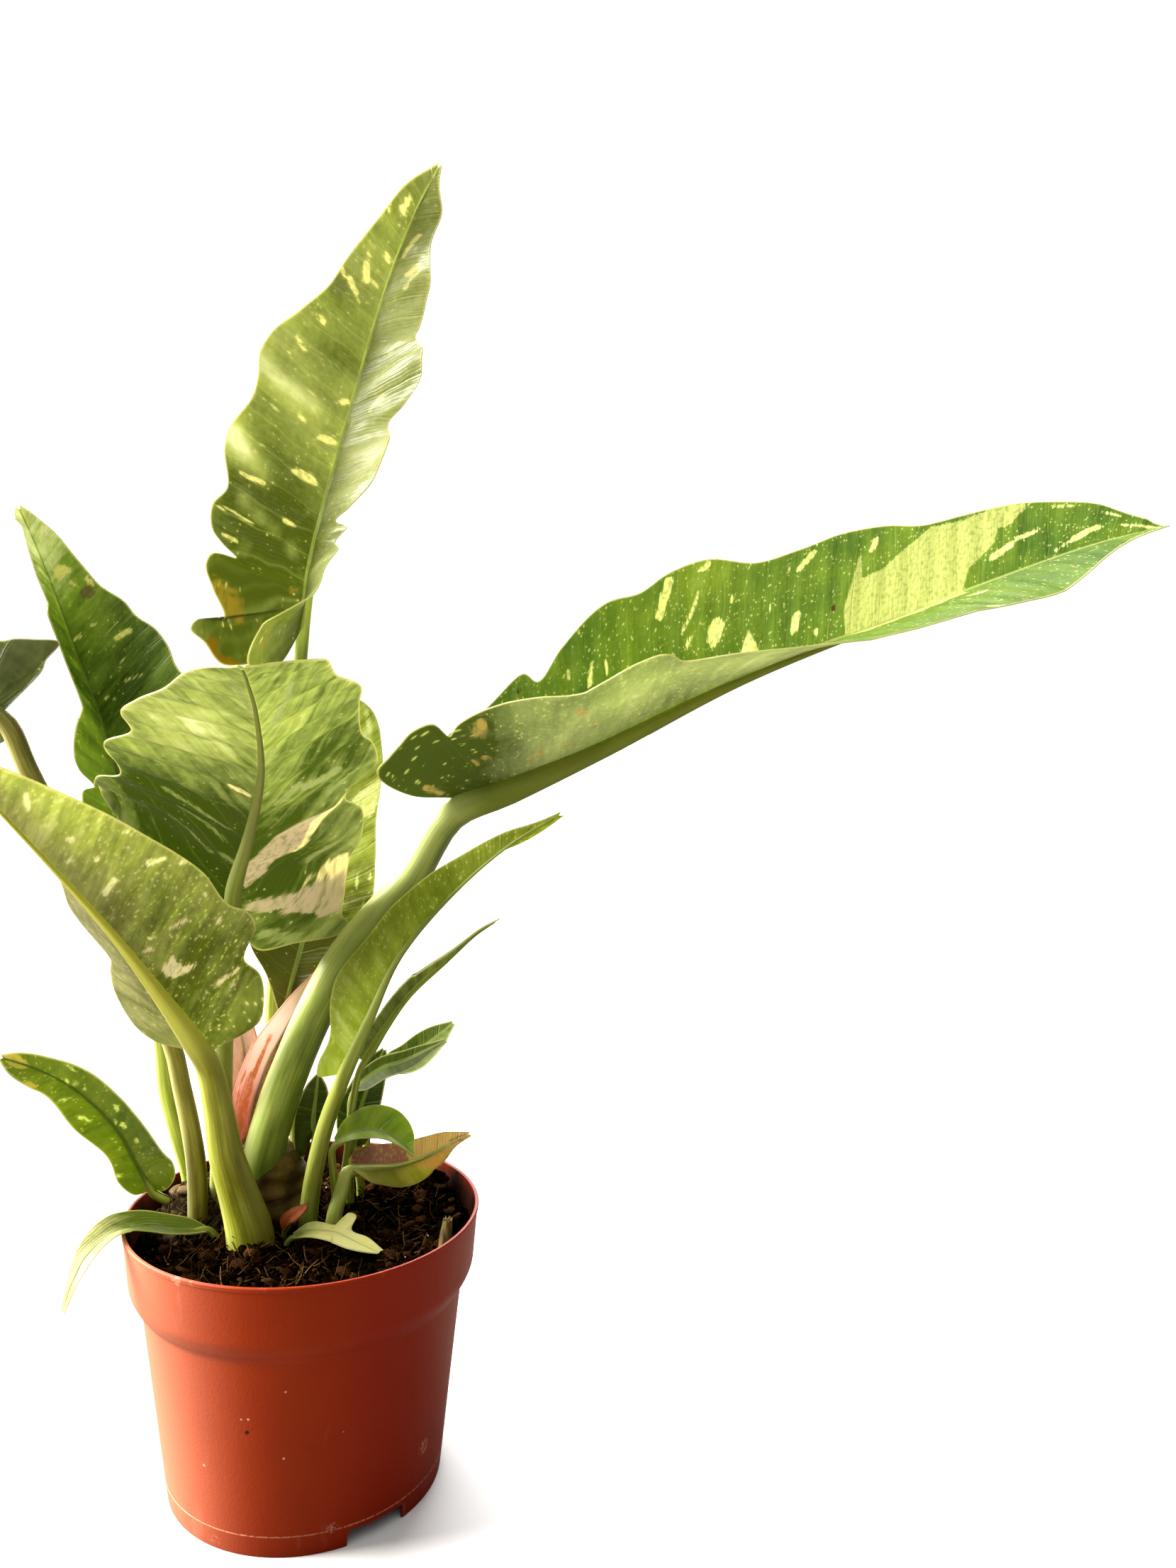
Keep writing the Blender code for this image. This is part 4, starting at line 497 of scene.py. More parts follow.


SKINS = {
    "leaf_tall": Skin(
        upper=(124, 134, 36), upper_light=(210, 214, 150), vein=(222, 228, 168), through=0.62,
        fleck=(230, 222, 164), cream=(232, 228, 168), tan=(168, 154, 66), flecks=0.45,
        rib=(226, 234, 156), keel=(226, 234, 156), pale=(160, 134, 26),
        pales=[[(-2, -54), (6, -54), (6, -40), (3, -32), (-2, -30)]], roughness=0.3, quilt=0.9,
        quilt_gap=17.0, uneven=0.35,
        creams=[
            [(196, -6), (195, -4), (190, -5), (187, -4), (187, -9), (191, -7), (193, -8)],
            [(77, -12), (81, -9), (83, -4), (82, 0), (79, -5)],
            [(58, -19), (61, -16), (64, -8), (60, -4), (58, -10)],
            (185, -13, 183, -12, 0.7), (169, -5, 168, -3, 1.4), (159, -12, 154, -10, 1.8),
            (163, -13, 163, -12, 1.1), (158, -17, 157, -17, 0.6), (151, -22, 148, -20, 0.9),
            (149, -17, 146, -13, 1.6), (146, -13, 143, -10, 0.7), (155, -7, 155, -4, 0.7),
            (181, 7, 172, 4, 1.5), (165, 13, 162, 10, 2.0), (163, 16, 155, 11, 1.0),
            (128, -28, 128, -27, 0.6), (124, -24, 123, -23, 1.1), (118, -31, 117, -31, 0.6),
            (110, -32, 108, -30, 1.0), (108, -29, 107, -27, 1.0), (102, -34, 102, -33, 0.5),
            (122, 20, 120, 16, 1.2), (112, 18, 111, 16, 0.6), (93, -21, 93, -17, 0.5),
            (99, -5, 101, -2, 1.1), (99, 18, 97, 13, 1.1), (96, 12, 94, 12, 0.5),
            (77, -39, 77, -37, 0.6), (77, -34, 77, -31, 0.7), (73, -34, 72, -34, 0.5),
            (81, -21, 81, -18, 0.8), (93, 4, 90, 4, 0.6), (84, -4, 85, -2, 0.6),
            (60, -35, 61, -32, 0.5), (71, -2, 71, 1, 0.8), (46, -39, 48, -28, 1.0),
            (30, -44, 32, -35, 0.6), (31, -35, 31, -28, 0.7), (39, -15, 39, -11, 0.9),
            (22, -39, 22, -33, 0.5)],
        tans=[
            [(12, -40), (12, -36), (11, -29), (10, -25), (7, -25), (8, -34), (10, -38)],
            (13, -7, 15, -4, 0.7), (7, 32, 6, 32, 0.8)],
        # Painted light and shade, with small painted glints near the left margin
        light_and_tone_spots=[(94, -34, 24, 0.4), (40, -16, 30, -0.6), (13, -32, 22, -0.45),
               (147, 9, 30, 0.3), (73, 22, 28, 0.6), (130, -20, 20, -0.15),
               (91, -42, 5, 0.6), (88, -34, 5, 0.6), (88, -25, 5, 0.5), (89, -15, 5, 0.4),
               (57, -46, 7, 1.2), (54, -38, 6, 1.0), (52, -30, 5, 0.6), (38, -34, 4, 0.8),
               (35, -26, 4, 0.8), (33, -18, 4, 0.8), (29, -10, 4, 0.8), (22, -28, 4, 0.6)]),
    "leaf_front": Skin(
        under=(112, 122, 38), under_light=(238, 230, 196), flecks=0.35, cream=(246, 236, 190),
        fleck=(222, 222, 176), tan=(206, 194, 168), pale=(178, 184, 134), through=0.6,
        rib=(214, 220, 140), keel=(214, 220, 140), sweep=(0.35, 0.008), quilt=0.9,
        quilt_gap=17.0,
        stem=(128, 138, 52), stem_light=(176, 184, 96),
        creams=[
            [(24, -21), (38, -26), (44, -32), (49, -39), (39, -33), (32, -27)],
            [(12, -25), (13, -32), (13, -49), (15, -49), (14, -36)],
            (73, 11, 73, 4, 1.6)],
        tans=[
            [(13, -3), (29, -4), (39, -12), (44, -25), (44, -36), (39, -30), (33, -27),
             (23, -17), (17, -12)],
            [(3, -3), (10, -10), (12, -25), (13, -40), (14, -49), (10, -51), (9, -38),
             (8, -22), (6, -9)]],
        pales=[
            (4, -22, 6, -50, 0.5), (65, -33, 65, -20, 1.8), (68, -17, 64, -8, 1.6),
            (24, -41, 16, -30, 1.4), (185, 5, 145, 1, 0.9), (27, 9, 27, 2, 1.2),
            (159, -14, 124, -4, 1.2), (105, -6, 99, 0, 1.2), (58, -44, 52, -31, 0.9),
            (40, 30, 34, 8, 0.8), (52, 36, 44, 8, 1.0), (30, 34, 24, 12, 0.6)],
        # Painted light and shade
        light_and_tone_spots=[(118, 33, 34, 0.55), (180, 0, 40, 0.2), (133, -14, 30, 0.1), (38, 39, 24, -0.4),
               (32, 14, 26, -0.9), (24, -18, 22, -0.5), (79, -29, 26, -0.25)]),
    "leaf_left": Skin(
        under=(136, 132, 50), under_light=(234, 222, 176), flecks=1.0, pale=(232, 230, 190),
        fleck=(228, 226, 172), uneven=0.8, sweep=(0.3, 0.002), keel=(240, 240, 146),
        tan=(218, 210, 180), rib=(230, 230, 146), through=0.64,
        stem=(172, 174, 38), stem_light=(216, 222, 82), stem_dark=(92, 84, 4),
        flank=(240, 244, 142), shaded=0.65,
        tans=[
            [(47, -6), (46, -9), (48, -13), (44, -12), (39, -13), (34, -19), (35, -13),
             (39, -7), (43, -5)],
            (59, -5, 56, -8, 0.8), (20, -20, 17, -30, 1.1), (13, -25, 13, -24, 0.8),
            (42, -34, 41, -36, 1.2), (57, -17, 54, -25, 0.7), (60, -3, 59, -3, 0.5)],
        pales=[
            (116, -5, 114, -7, 1.0), (122, -11, 121, -12, 1.2), (93, -13, 92, -8, 1.9),
            (87, -27, 82, -33, 1.0), (107, -14, 106, -14, 1.1), (75, -37, 73, -39, 1.0),
            (56, -36, 55, -37, 0.8), (62, -9, 59, -11, 0.7), (151, -11, 145, -8, 1.1),
            (106, -28, 105, -29, 0.8), (28, -35, 27, -37, 0.7)],
        light_and_tone_spots=[(135, -14, 40, 0.45), (32, -13, 26, -0.6), (30, 26, 30, 0.4)]),
    "leaf_back": Skin(
        upper=(74, 102, 18), upper_light=(150, 176, 76), flecks=0.35, cream=(214, 212, 148),
        tan=(138, 130, 84), uneven=0.8, rib=(150, 170, 84),
        creams=[
            [(125, 4), (125, 8), (119, 14), (117, 13), (119, 10), (118, 7), (120, 4)],
            [(110, 19), (110, 21), (105, 24), (104, 22), (107, 19)],
            (155, 1, 148, 1, 1.2), (142, 5, 141, 5, 0.6), (136, 8, 134, 9, 0.6),
            (92, 13, 90, 17, 0.5), (83, 18, 83, 28, 0.4), (78, 24, 75, 33, 1.2),
            (83, 7, 83, 7, 0.5), (76, 21, 75, 22, 0.4), (65, 19, 64, 19, 0.4),
            (66, 22, 66, 25, 0.5), (58, 20, 54, 30, 0.4), (61, 6, 55, 13, 0.6),
            (93, 1, 92, 6, 0.8), (114, 11, 110, 14, 0.5)],
        tans=[[(107, 13), (108, 16), (106, 20), (103, 22), (101, 22), (101, 19), (104, 14)]],
        light_and_tone_spots=[(138, 0, 44, 1.0), (75, 16, 40, -0.3), (33, -24, 24, 0.4)]),
    "leaf_long": Skin(
        upper=(74, 116, 8), upper_light=(140, 168, 34), under=(118, 126, 48),
        under_light=(226, 222, 196), flecks=0.8, through=0.55, shaded=0.8,
        fleck=(230, 232, 160), uneven=0.35, veined=0.05, quilt=0.2, rib=(190, 200, 110),
        keel=(158, 162, 70),
        stem=(134, 156, 42), stem_light=(188, 206, 92), stem_dark=(70, 88, 8),
        flank=(240, 246, 160), painted_lit_side_share=0.8, paler=0.5, cream=(208, 214, 126),
        tan=(200, 184, 120), pale=(242, 244, 166),
        creams=[
            [(177, -3), (176, -14), (179, -26), (183, -44), (184, -27), (194, -29),
             (203, -35), (216, -43), (232, -41), (249, -43), (261, -39), (253, -29),
             (247, -29), (246, -21), (234, -12), (230, 4), (209, 7), (195, 6), (180, 8)]],
        pales=[
            [(119, -33), (122, -28), (120, -21), (117, -18), (114, -22), (115, -30)],
            [(133, -21), (139, -8), (128, -6), (131, -15)],
            (97, -58, 93, -43, 1.9), (111, -49, 108, -41, 0.8), (108, -41, 103, -31, 0.9),
            (108, -29, 105, -24, 0.8), (155, -19, 154, -12, 1.8), (190, -46, 188, -41, 1.4),
            (160, -49, 154, -42, 1.5), (150, -45, 150, -43, 0.6), (63, -37, 61, -27, 0.8),
            (69, -34, 69, -28, 0.7), (52, -38, 52, -34, 0.7), (114, -60, 111, -58, 1.5),
            (253, -17, 245, -13, 1.9), (264, -20, 256, -19, 1.3), (292, -11, 283, -8, 2.0),
            (283, -8, 274, -4, 0.8), (303, -9, 321, -1, 0.9), (211, 40, 214, 41, 1.5),
            (164, -9, 164, -6, 0.9), (126, -40, 125, -37, 0.8), (143, -29, 141, -22, 0.5),
            (271, -33, 282, -29, 0.6), (226, 10, 232, 11, 1.2), (295, -20, 302, -15, 0.6)],
        tans=[
            [(14, 39), (15, 42), (15, 28), (14, 30), (14, 35)],
            (13, 19, 13, 15, 0.5), (14, 19, 16, 16, 0.5), (49, 37, 50, 36, 2.1),
            (57, 24, 57, 23, 1.3), (73, 30, 73, 29, 0.8), (31, 10, 35, 12, 1.5),
            (46, 10, 50, 10, 1.2), (5, 22, 3, 12, 0.7), (7, 0, 8, 0, 1.0),
            (22, 49, 23, 49, 0.7), (132, 16, 126, 16, 1.2), (74, 15, 74, 14, 0.6)],
        spots=[(171, -17, 171, -16, 1.1), (25, -39, 26, -39, 0.8)],
        light_and_tone_spots=[(114, -50, 22, 0.5), (56, 29, 36, 0.5), (-4, 30, 32, -0.7),
               (271, -8, 30, -0.2), (120, 34, 30, 0.4)]),
    "leaf_side": Skin(
        under=(88, 92, 42), under_light=(140, 142, 84), flecks=0.1,
        stem=(130, 118, 38), stem_light=(186, 180, 84), stem_dark=(66, 56, 8),
        flank=(240, 242, 170), painted_lit_side_share=0.85),
    "leaf_low": Skin(
        upper=(100, 130, 10), upper_light=(168, 186, 56), flecks=0.6, uneven=0.6,
        rib=(112, 142, 24), keel=(134, 160, 40), cream=(222, 230, 150), veined=0.1, shaded=0.1,
        tan=(206, 196, 104),
        creams=[
            (75, 0, 73, 0, 0.9), (68, 2, 66, 0, 0.9), (64, 2, 63, 4, 0.7),
            (53, 13, 52, 13, 0.8), (59, 4, 58, 4, 0.7), (71, -5, 69, -5, 0.5),
            (60, -5, 58, -4, 0.5), (61, -8, 60, -7, 0.5), (48, -8, 44, -6, 0.9),
            (43, 9, 41, 8, 1.3), (35, 5, 33, 5, 1.4), (38, 3, 37, 2, 0.9),
            (25, 7, 24, 7, 1.0), (20, 13, 18, 14, 0.7), (50, 3, 49, 2, 0.5),
            (11, -9, 10, -9, 0.5), (63, 12, 62, 12, 0.5), (69, 9, 66, 9, 0.6)],
        tans=[
            [(95, 1), (93, 3), (88, 4), (84, 1), (84, -1), (87, -3), (92, -2)],
            [(80, -9), (79, -7), (72, -7), (76, -9)]],
        spots=[(20, 12, 20, 15, 0.4), (18, -4, 16, -3, 0.4), (11, -3, 10, -2, 0.4)]),
    "leaf_narrow": Skin(
        upper=(96, 120, 20), upper_light=(150, 170, 60), under=(150, 156, 30),
        under_light=(214, 222, 92), flecks=1.0, fleck=(240, 244, 170), through=0.76,
        veined=0.1, uneven=0.8,
        # Painted light over the blade
        light_and_tone_spots=[(14, 8, 34, 0.5), (70, 0, 40, 0.25), (124, 0, 30, 0.1)]),
    "leaf_upright": Skin(
        upper=(108, 106, 16), upper_light=(212, 224, 104), flecks=0.35,
        cream=(238, 240, 180),
        creams=[
            [(90, 15), (93, 16), (94, 22), (94, 31), (86, 30), (80, 26), (84, 21)],
            (123, 26, 115, 27, 1.2), (61, 26, 55, 28, 0.8), (59, 21, 54, 21, 0.8),
            (51, 27, 46, 26, 0.6)],
        light_and_tone_spots=[(110, 0, 70, 0.45), (15, 0, 34, -0.9)]),
    "leaf_sliver": Skin(upper=(84, 104, 40), upper_light=(150, 164, 96), flecks=0.0),
    "leaf_right_lower": Skin(
        upper=(80, 104, 24), upper_light=(130, 150, 56), under=(86, 106, 30),
        under_light=(134, 152, 66), flecks=0.0, veined=0.1),
    "leaf_right_upper": Skin(upper=(96, 122, 40), upper_light=(156, 176, 76), flecks=0.0),
    "leaf_right_dark": Skin(upper=(44, 62, 8), upper_light=(84, 108, 28), flecks=0.0),
    "leaf_right_round": Skin(
        upper=(164, 208, 28), upper_light=(218, 238, 96), flecks=0.0, roughness=0.32,
        through=0.62),
    "leaf_yellowing": Skin(
        upper=(176, 180, 40), upper_light=(240, 226, 112), flecks=0.0, roughness=0.6,
        margin=(196, 170, 100), stem=(190, 204, 76), stem_light=(222, 232, 116), through=0.35,
        under=(186, 186, 52), under_light=(240, 226, 120),
        keel=(222, 226, 100), tan=(226, 192, 108), pale=(180, 116, 84), uneven=0.7,
        shaded=0.2,
        spot=(186, 116, 62), spots=[(57, 0, 64, 0, 1.5)],
        tans=[[(34, 0), (34, -14), (70, -14), (70, 14), (46, 14)]],
        pales=[[(1, 0), (1, -14), (30, -14), (34, 0)]],
        light_and_tone_spots=[(50, -5, 16, 0.3), (20, 8, 14, -0.4)]),
    "leaf_behind": Skin(upper=(60, 72, 16), upper_light=(96, 110, 36), flecks=0.0),
    "leaf_over_rim": Skin(
        upper=(132, 150, 52), upper_light=(236, 236, 176), flecks=0.0, lengthwise=True,
        light_and_tone_spots=[(90, 0, 50, 0.5), (10, 0, 34, -0.9)]),
    "leaf_on_soil": Skin(
        upper=(170, 184, 60), upper_light=(250, 246, 158), flecks=0.0, lengthwise=True,
        bright=(250, 246, 176), light_and_tone_spots=[(0, 0, 10, -0.8), (26, 0, 22, 0.9)]),
    "sheath_pink": Skin(
        upper=(222, 150, 146), upper_light=(255, 216, 214), flecks=0.0, lengthwise=True,
        quilt=0.3, through=0.55, margin=(232, 170, 148), bright=(255, 234, 230),
        pale=(220, 150, 112), pales=[
            (-4, -3, 44, -5, 1.2), (0, 3, 56, 1, 0.9), (-6, -6, 26, -8, 1.0),
            (14, 5, 60, 3, 0.5), (8, -1, 34, -1, 0.5)],
        # Painted highlight down its middle, painted shade at its foot
        light_and_tone_spots=[(54, 0, 26, 1.3), (34, -6, 18, 0.6), (2, 0, 16, -0.3)]),
    "sheath_brown": Skin(
        upper=(184, 146, 124), upper_light=(228, 204, 188), flecks=0.0, lengthwise=True,
        quilt=0.3, margin=(190, 130, 100)),
    "bract_red": Skin(
        upper=(190, 74, 22), upper_light=(238, 140, 66), flecks=0.0, lengthwise=True,
        quilt=0.3, through=0.3, roughness=0.6, margin=(150, 70, 30)),
}


def tone(red, green, blue):
    """Shader colour from screen values of 0 to 255."""
    shares = [value / 255 for value in (red, green, blue)]
    return (*(s / 12.92 if s <= 0.04045 else ((s + 0.055) / 1.055) ** 2.4
              for s in shares), 1.0)


class Socket:
    """One output of a node. Arithmetic on it adds Math nodes."""

    def __init__(self, nodes, socket):
        self.nodes = nodes
        self.socket = socket

    def maths(self, operation, *values):
        return self.nodes.add("ShaderNodeMath", {"operation": operation},
                              dict(enumerate(values)))

    def __add__(self, other):
        return self.maths("ADD", self, other)

    def __radd__(self, other):
        return self.maths("ADD", other, self)

    def __sub__(self, other):
        return self.maths("SUBTRACT", self, other)

    def __rsub__(self, other):
        return self.maths("SUBTRACT", other, self)

    def __mul__(self, other):
        return self.maths("MULTIPLY", self, other)

    def __rmul__(self, other):
        return self.maths("MULTIPLY", other, self)

    def __truediv__(self, other):
        return self.maths("DIVIDE", self, other)

    def __abs__(self):
        return self.maths("ABSOLUTE", self)

    def at_least(self, other):
        return self.maths("MAXIMUM", self, other)

    def at_most(self, other):
        return self.maths("MINIMUM", self, other)

    def beat(self, half):
        """Distance to the nearest of the lines that stand two halves apart."""
        return self.maths("PINGPONG", self, half)

    def ramp(self, low, high):
        """0 at low and 1 at high, smooth between them and level outside."""
        return self.nodes.add(
            "ShaderNodeMapRange", {"interpolation_type": "SMOOTHSTEP"},
            {"Value": self, "From Min": low, "From Max": high})

    def also(self, name):
        """Another output of the same node."""
        return Socket(self.nodes, self.socket.node.outputs[name])


class Nodes:
    """A node tree under construction."""

    def __init__(self, tree):
        self.tree = tree
        tree.nodes.clear()

    def add(self, kind, settings=None, inputs=None, output=0):
        """A new node: first its settings, then the values or links of its sockets."""
        node = self.tree.nodes.new(kind)
        for name, value in (settings or {}).items():
            setattr(node, name, value)
        for name, value in (inputs or {}).items():
            if isinstance(value, Socket):
                self.tree.links.new(value.socket, node.inputs[name])
            else:
                node.inputs[name].default_value = value
        return Socket(self, node.outputs[output]) if node.outputs else node


class Finish(Nodes):
    """The node tree of one material."""

    def __init__(self, name):
        self.material = bpy.data.materials.new(name)
        self.material.use_nodes = True
        super().__init__(self.material.node_tree)

    def object_place(self):
        """Place on the piece, in metres."""
        return self.add("ShaderNodeTexCoord", output="Object")

    def attribute(self, name, output="Fac"):
        return self.add("ShaderNodeAttribute", {"attribute_name": name}, output=output)

    def point(self, x, y, z):
        return self.add("ShaderNodeCombineXYZ", inputs={0: x, 1: y, 2: z})

    def parts(self, vector):
        """X of a vector; its Y and Z are other outputs of the same node."""
        return self.add("ShaderNodeSeparateXYZ", inputs={0: vector})

    def away_from(self, place, spot):
        """Distance in millimetres from a spot that is given in millimetres."""
        return self.add("ShaderNodeVectorMath", {"operation": "DISTANCE"}, {
            0: place, 1: tuple(value * MM for value in spot)}, output="Value") * TO_MM

    def stretched(self, place, scale):
        return self.add("ShaderNodeVectorMath", {"operation": "MULTIPLY"},
                        {0: place, 1: scale})

    def noise(self, place, scale=1.0, detail=2.0, roughness=0.5):
        return self.add("ShaderNodeTexNoise", inputs={
            "Vector": place, "Scale": scale, "Detail": detail, "Roughness": roughness})

    def cells(self, place, scale=1.0):
        """Distance to the nearest of randomly placed points."""
        return self.add("ShaderNodeTexVoronoi", inputs={"Vector": place, "Scale": scale})

    def mix(self, share, first, second):
        """Colour between two colours."""
        return self.add("ShaderNodeMix", {"data_type": "RGBA"},
                        {0: share, 6: first, 7: second}, output=2)

    def close(self, colour, roughness, height=None, depth=0.0, through=0.0, **fixed):
        """End in a Principled shader, mixed with light from behind where asked."""
        inputs = {"Base Color": colour, "Roughness": roughness}
        inputs.update({name.replace("_", " "): value for name, value in fixed.items()})
        if height is not None:
            inputs["Normal"] = self.add("ShaderNodeBump", inputs={
                "Strength": 1.0, "Distance": depth, "Height": height})
        surface = self.add("ShaderNodeBsdfPrincipled", inputs=inputs)
        if isinstance(through, Socket) or through:
            behind = self.add("ShaderNodeBsdfTranslucent", inputs={"Color": colour})
            surface = self.add("ShaderNodeMixShader", inputs={
                0: through, 1: surface, 2: behind})
        self.add("ShaderNodeOutputMaterial", inputs={"Surface": surface})
        return self.material


class Build(Nodes):
    """A Geometry Nodes tree with named inputs, whose result is made a plain mesh."""

    def __init__(self, name, **given):
        tree = bpy.data.node_groups.new(name, "GeometryNodeTree")
        for label in ("Geometry", *given):
            kind = given.get(label, "NodeSocketGeometry")
            tree.interface.new_socket(label, in_out="INPUT", socket_type=kind)
        tree.interface.new_socket("Geometry", in_out="OUTPUT",
                                  socket_type="NodeSocketGeometry")
        super().__init__(tree)
        self.start = self.add("NodeGroupInput")

    def given(self, name):
        return self.start.also(name)

    def end(self, geometry):
        self.add("NodeGroupOutput", inputs={0: geometry})

    def run(self, base, **values):
        """Replace the mesh of base by what the tree makes of it."""
        modifier = base.modifiers.new(self.tree.name, "NODES")
        modifier.node_group = self.tree
        for item in self.tree.interface.items_tree:
            if item.in_out == "INPUT" and item.name in values:
                modifier[item.identifier] = values[item.name]
        bpy.context.view_layer.update()
        graph = bpy.context.evaluated_depsgraph_get()
        mesh = bpy.data.meshes.new_from_object(base.evaluated_get(graph))
        base.modifiers.clear()
        base.data = mesh
        mesh.name = base.name
        return base


def unit(vectors):
    """Vectors scaled to length one."""
    vectors = np.asarray(vectors, float)
    return vectors / np.linalg.norm(vectors, axis=-1, keepdims=True)


def curve_at(points, places):
    """Points of the Catmull-Rom curve; place 2.5 is halfway from point 2 to point 3."""
    points = np.asarray(points, float)
    ends = np.vstack([2 * points[0] - points[1], points, 2 * points[-1] - points[-2]])
    places = np.asarray(places, float)
    stretch = np.clip(places.astype(int), 0, len(points) - 2)
    before, start, end, after = (ends[stretch + i] for i in range(4))
    knots = [np.zeros((len(places), 1))]
    for a, b in ((before, start), (start, end), (end, after)):
        gap = np.sqrt(np.maximum(np.linalg.norm(b - a, axis=1, keepdims=True), 1e-9))
        knots.append(knots[-1] + gap)
    at = knots[1] + (places - stretch)[:, None] * (knots[2] - knots[1])

    def blend(a, b, low, high):
        share = (at - knots[low]) / (knots[high] - knots[low])
        return a * (1 - share) + b * share

    first = blend(before, start, 0, 1)
    second = blend(start, end, 1, 2)
    third = blend(end, after, 2, 3)
    return blend(blend(first, second, 0, 2), blend(second, third, 1, 3), 1, 2)


def curve_through(points, least):
    """Points of the curve through the points, in at least the given number of steps."""
    lengths = np.linalg.norm(np.diff(np.array(points, float)[:, :3], axis=0), axis=1)
    steps = np.maximum(1, np.round(least * lengths / lengths.sum())).astype(int)
    places = [i + np.arange(count) / count for i, count in enumerate(steps)]
    return curve_at(points, np.concatenate([*places, [len(points) - 1]]))


class Spine:
    """The midrib's curve with its own forward, face and side directions."""

    def __init__(self, leaf):
        self.points = curve_through(leaf.spine, SPINE_STEPS)
        steps = np.linalg.norm(np.diff(self.points, axis=0), axis=1)
        self.length = steps.sum()
        self.share = np.concatenate([[0.0], np.cumsum(steps)]) / self.length
        self.forward = unit(np.gradient(self.points, self.share, axis=0))
        looks = unit(leaf.face)
        keys = np.linspace(0.0, 1.0, len(looks))
        face = np.stack([np.interp(self.share, keys, looks[:, i]) for i in range(3)], -1)
        lean = (face * self.forward).sum(1, keepdims=True)
        self.face = unit(face - lean * self.forward)

    def at(self, share):
        """Place, forward, face and rightward directions at shares of the length."""
        share = np.asarray(share, float)
        inside = np.clip(share, 0.0, 1.0)

        def read(field):
            return np.stack([np.interp(inside, self.share, field[:, i])
                             for i in range(3)], -1)

        forward = unit(read(self.forward))
        face = unit(read(self.face))
        place = read(self.points) + forward * ((share - inside) * self.length)[..., None]
        return place, forward, face, unit(np.cross(forward, face))


def vein_starts(outline, length):
    """Where on the midrib the vein to each point of the outline starts."""
    share, reach = np.array(outline, float).T
    start = np.maximum.accumulate(np.clip(share - VEIN_SLANT * reach / length, 0.0, 1.0))
    steps = np.hypot(np.diff(share) * length, np.diff(reach))
    even = np.concatenate([[0.0], np.cumsum(steps)]) / steps.sum()
    return LAST_VEIN * (start * (1.0 - VEIN_SPREAD) + even * VEIN_SPREAD)


def margin_at(outline, length, starts, rows):
    """Share and reach of the margin at the end of each row's vein."""
    scaled = np.array([(share * length, reach) for share, reach in outline])
    curve = curve_at(scaled, np.interp(rows, starts, np.arange(len(starts))))
    return curve[:, 0] / length, np.maximum(curve[:, 1], TIP_HALF_WIDTH)


def fold_at(folds, share):
    """Fold angle in radians at shares of the spine."""
    keys = np.array(folds, float)
    return np.radians(np.interp(share, keys[:, 0], keys[:, 1]))


def point_normals(points, triangles):
    """Area-weighted directions square to the surface at each point."""
    corners = points[triangles]
    face = np.cross(corners[:, 1] - corners[:, 0], corners[:, 2] - corners[:, 0])
    normals = np.zeros_like(points)
    for corner in range(3):
        np.add.at(normals, triangles[:, corner], face)
    return unit(normals)


def add_object(name, data):
    """New object in the scene."""
    made = bpy.data.objects.new(name, data)
    bpy.context.scene.collection.objects.link(made)
    return made


def make_object(name, points, faces, edges=()):
    """Mesh object from points in millimetres."""
    mesh = bpy.data.meshes.new(name)
    mesh.from_pydata((np.asarray(points) * MM).tolist(), list(edges),
                     [tuple(int(i) for i in f) for f in faces])
    return add_object(name, mesh)


def ring_faces(sides, rings):
    """Four-cornered faces between rings of points that follow each other."""
    faces = []
    for ring in range(rings - 1):
        for i in range(sides):
            a = ring * sides + i
            b = ring * sides + (i + 1) % sides
            faces.append((a, b, b + sides, a + sides))
    return faces


def stacked(name, points, sides):
    """Closed solid from rings of points, one above the other, with flat ends."""
    ends = [tuple(range(sides))[::-1], tuple(range(len(points) - sides, len(points)))]
    return make_object(name, points, ends + ring_faces(sides, len(points) // sides))


def points_of(made):
    """Places of a mesh's points in millimetres."""
    points = np.zeros(len(made.data.vertices) * 3)
    made.data.vertices.foreach_get("co", points)
    return points.reshape(-1, 3) / MM


def move_points(made, points):
    """Put a mesh's points at new places, in millimetres."""
    made.data.vertices.foreach_set("co", (points * MM).ravel())


def store(made, name, values):
    """Keep one number for each point of the mesh."""
    attribute = made.data.attributes.new(name, "FLOAT", "POINT")
    attribute.data.foreach_set("value", np.asarray(values, np.float32).ravel())


def shade_round(made, crease=None):
    """Shade smooth, except where the mesh turns by more than crease degrees."""
    made.data.shade_smooth()
    if crease is not None:
        made.data.set_sharp_from_angle(angle=math.radians(crease))


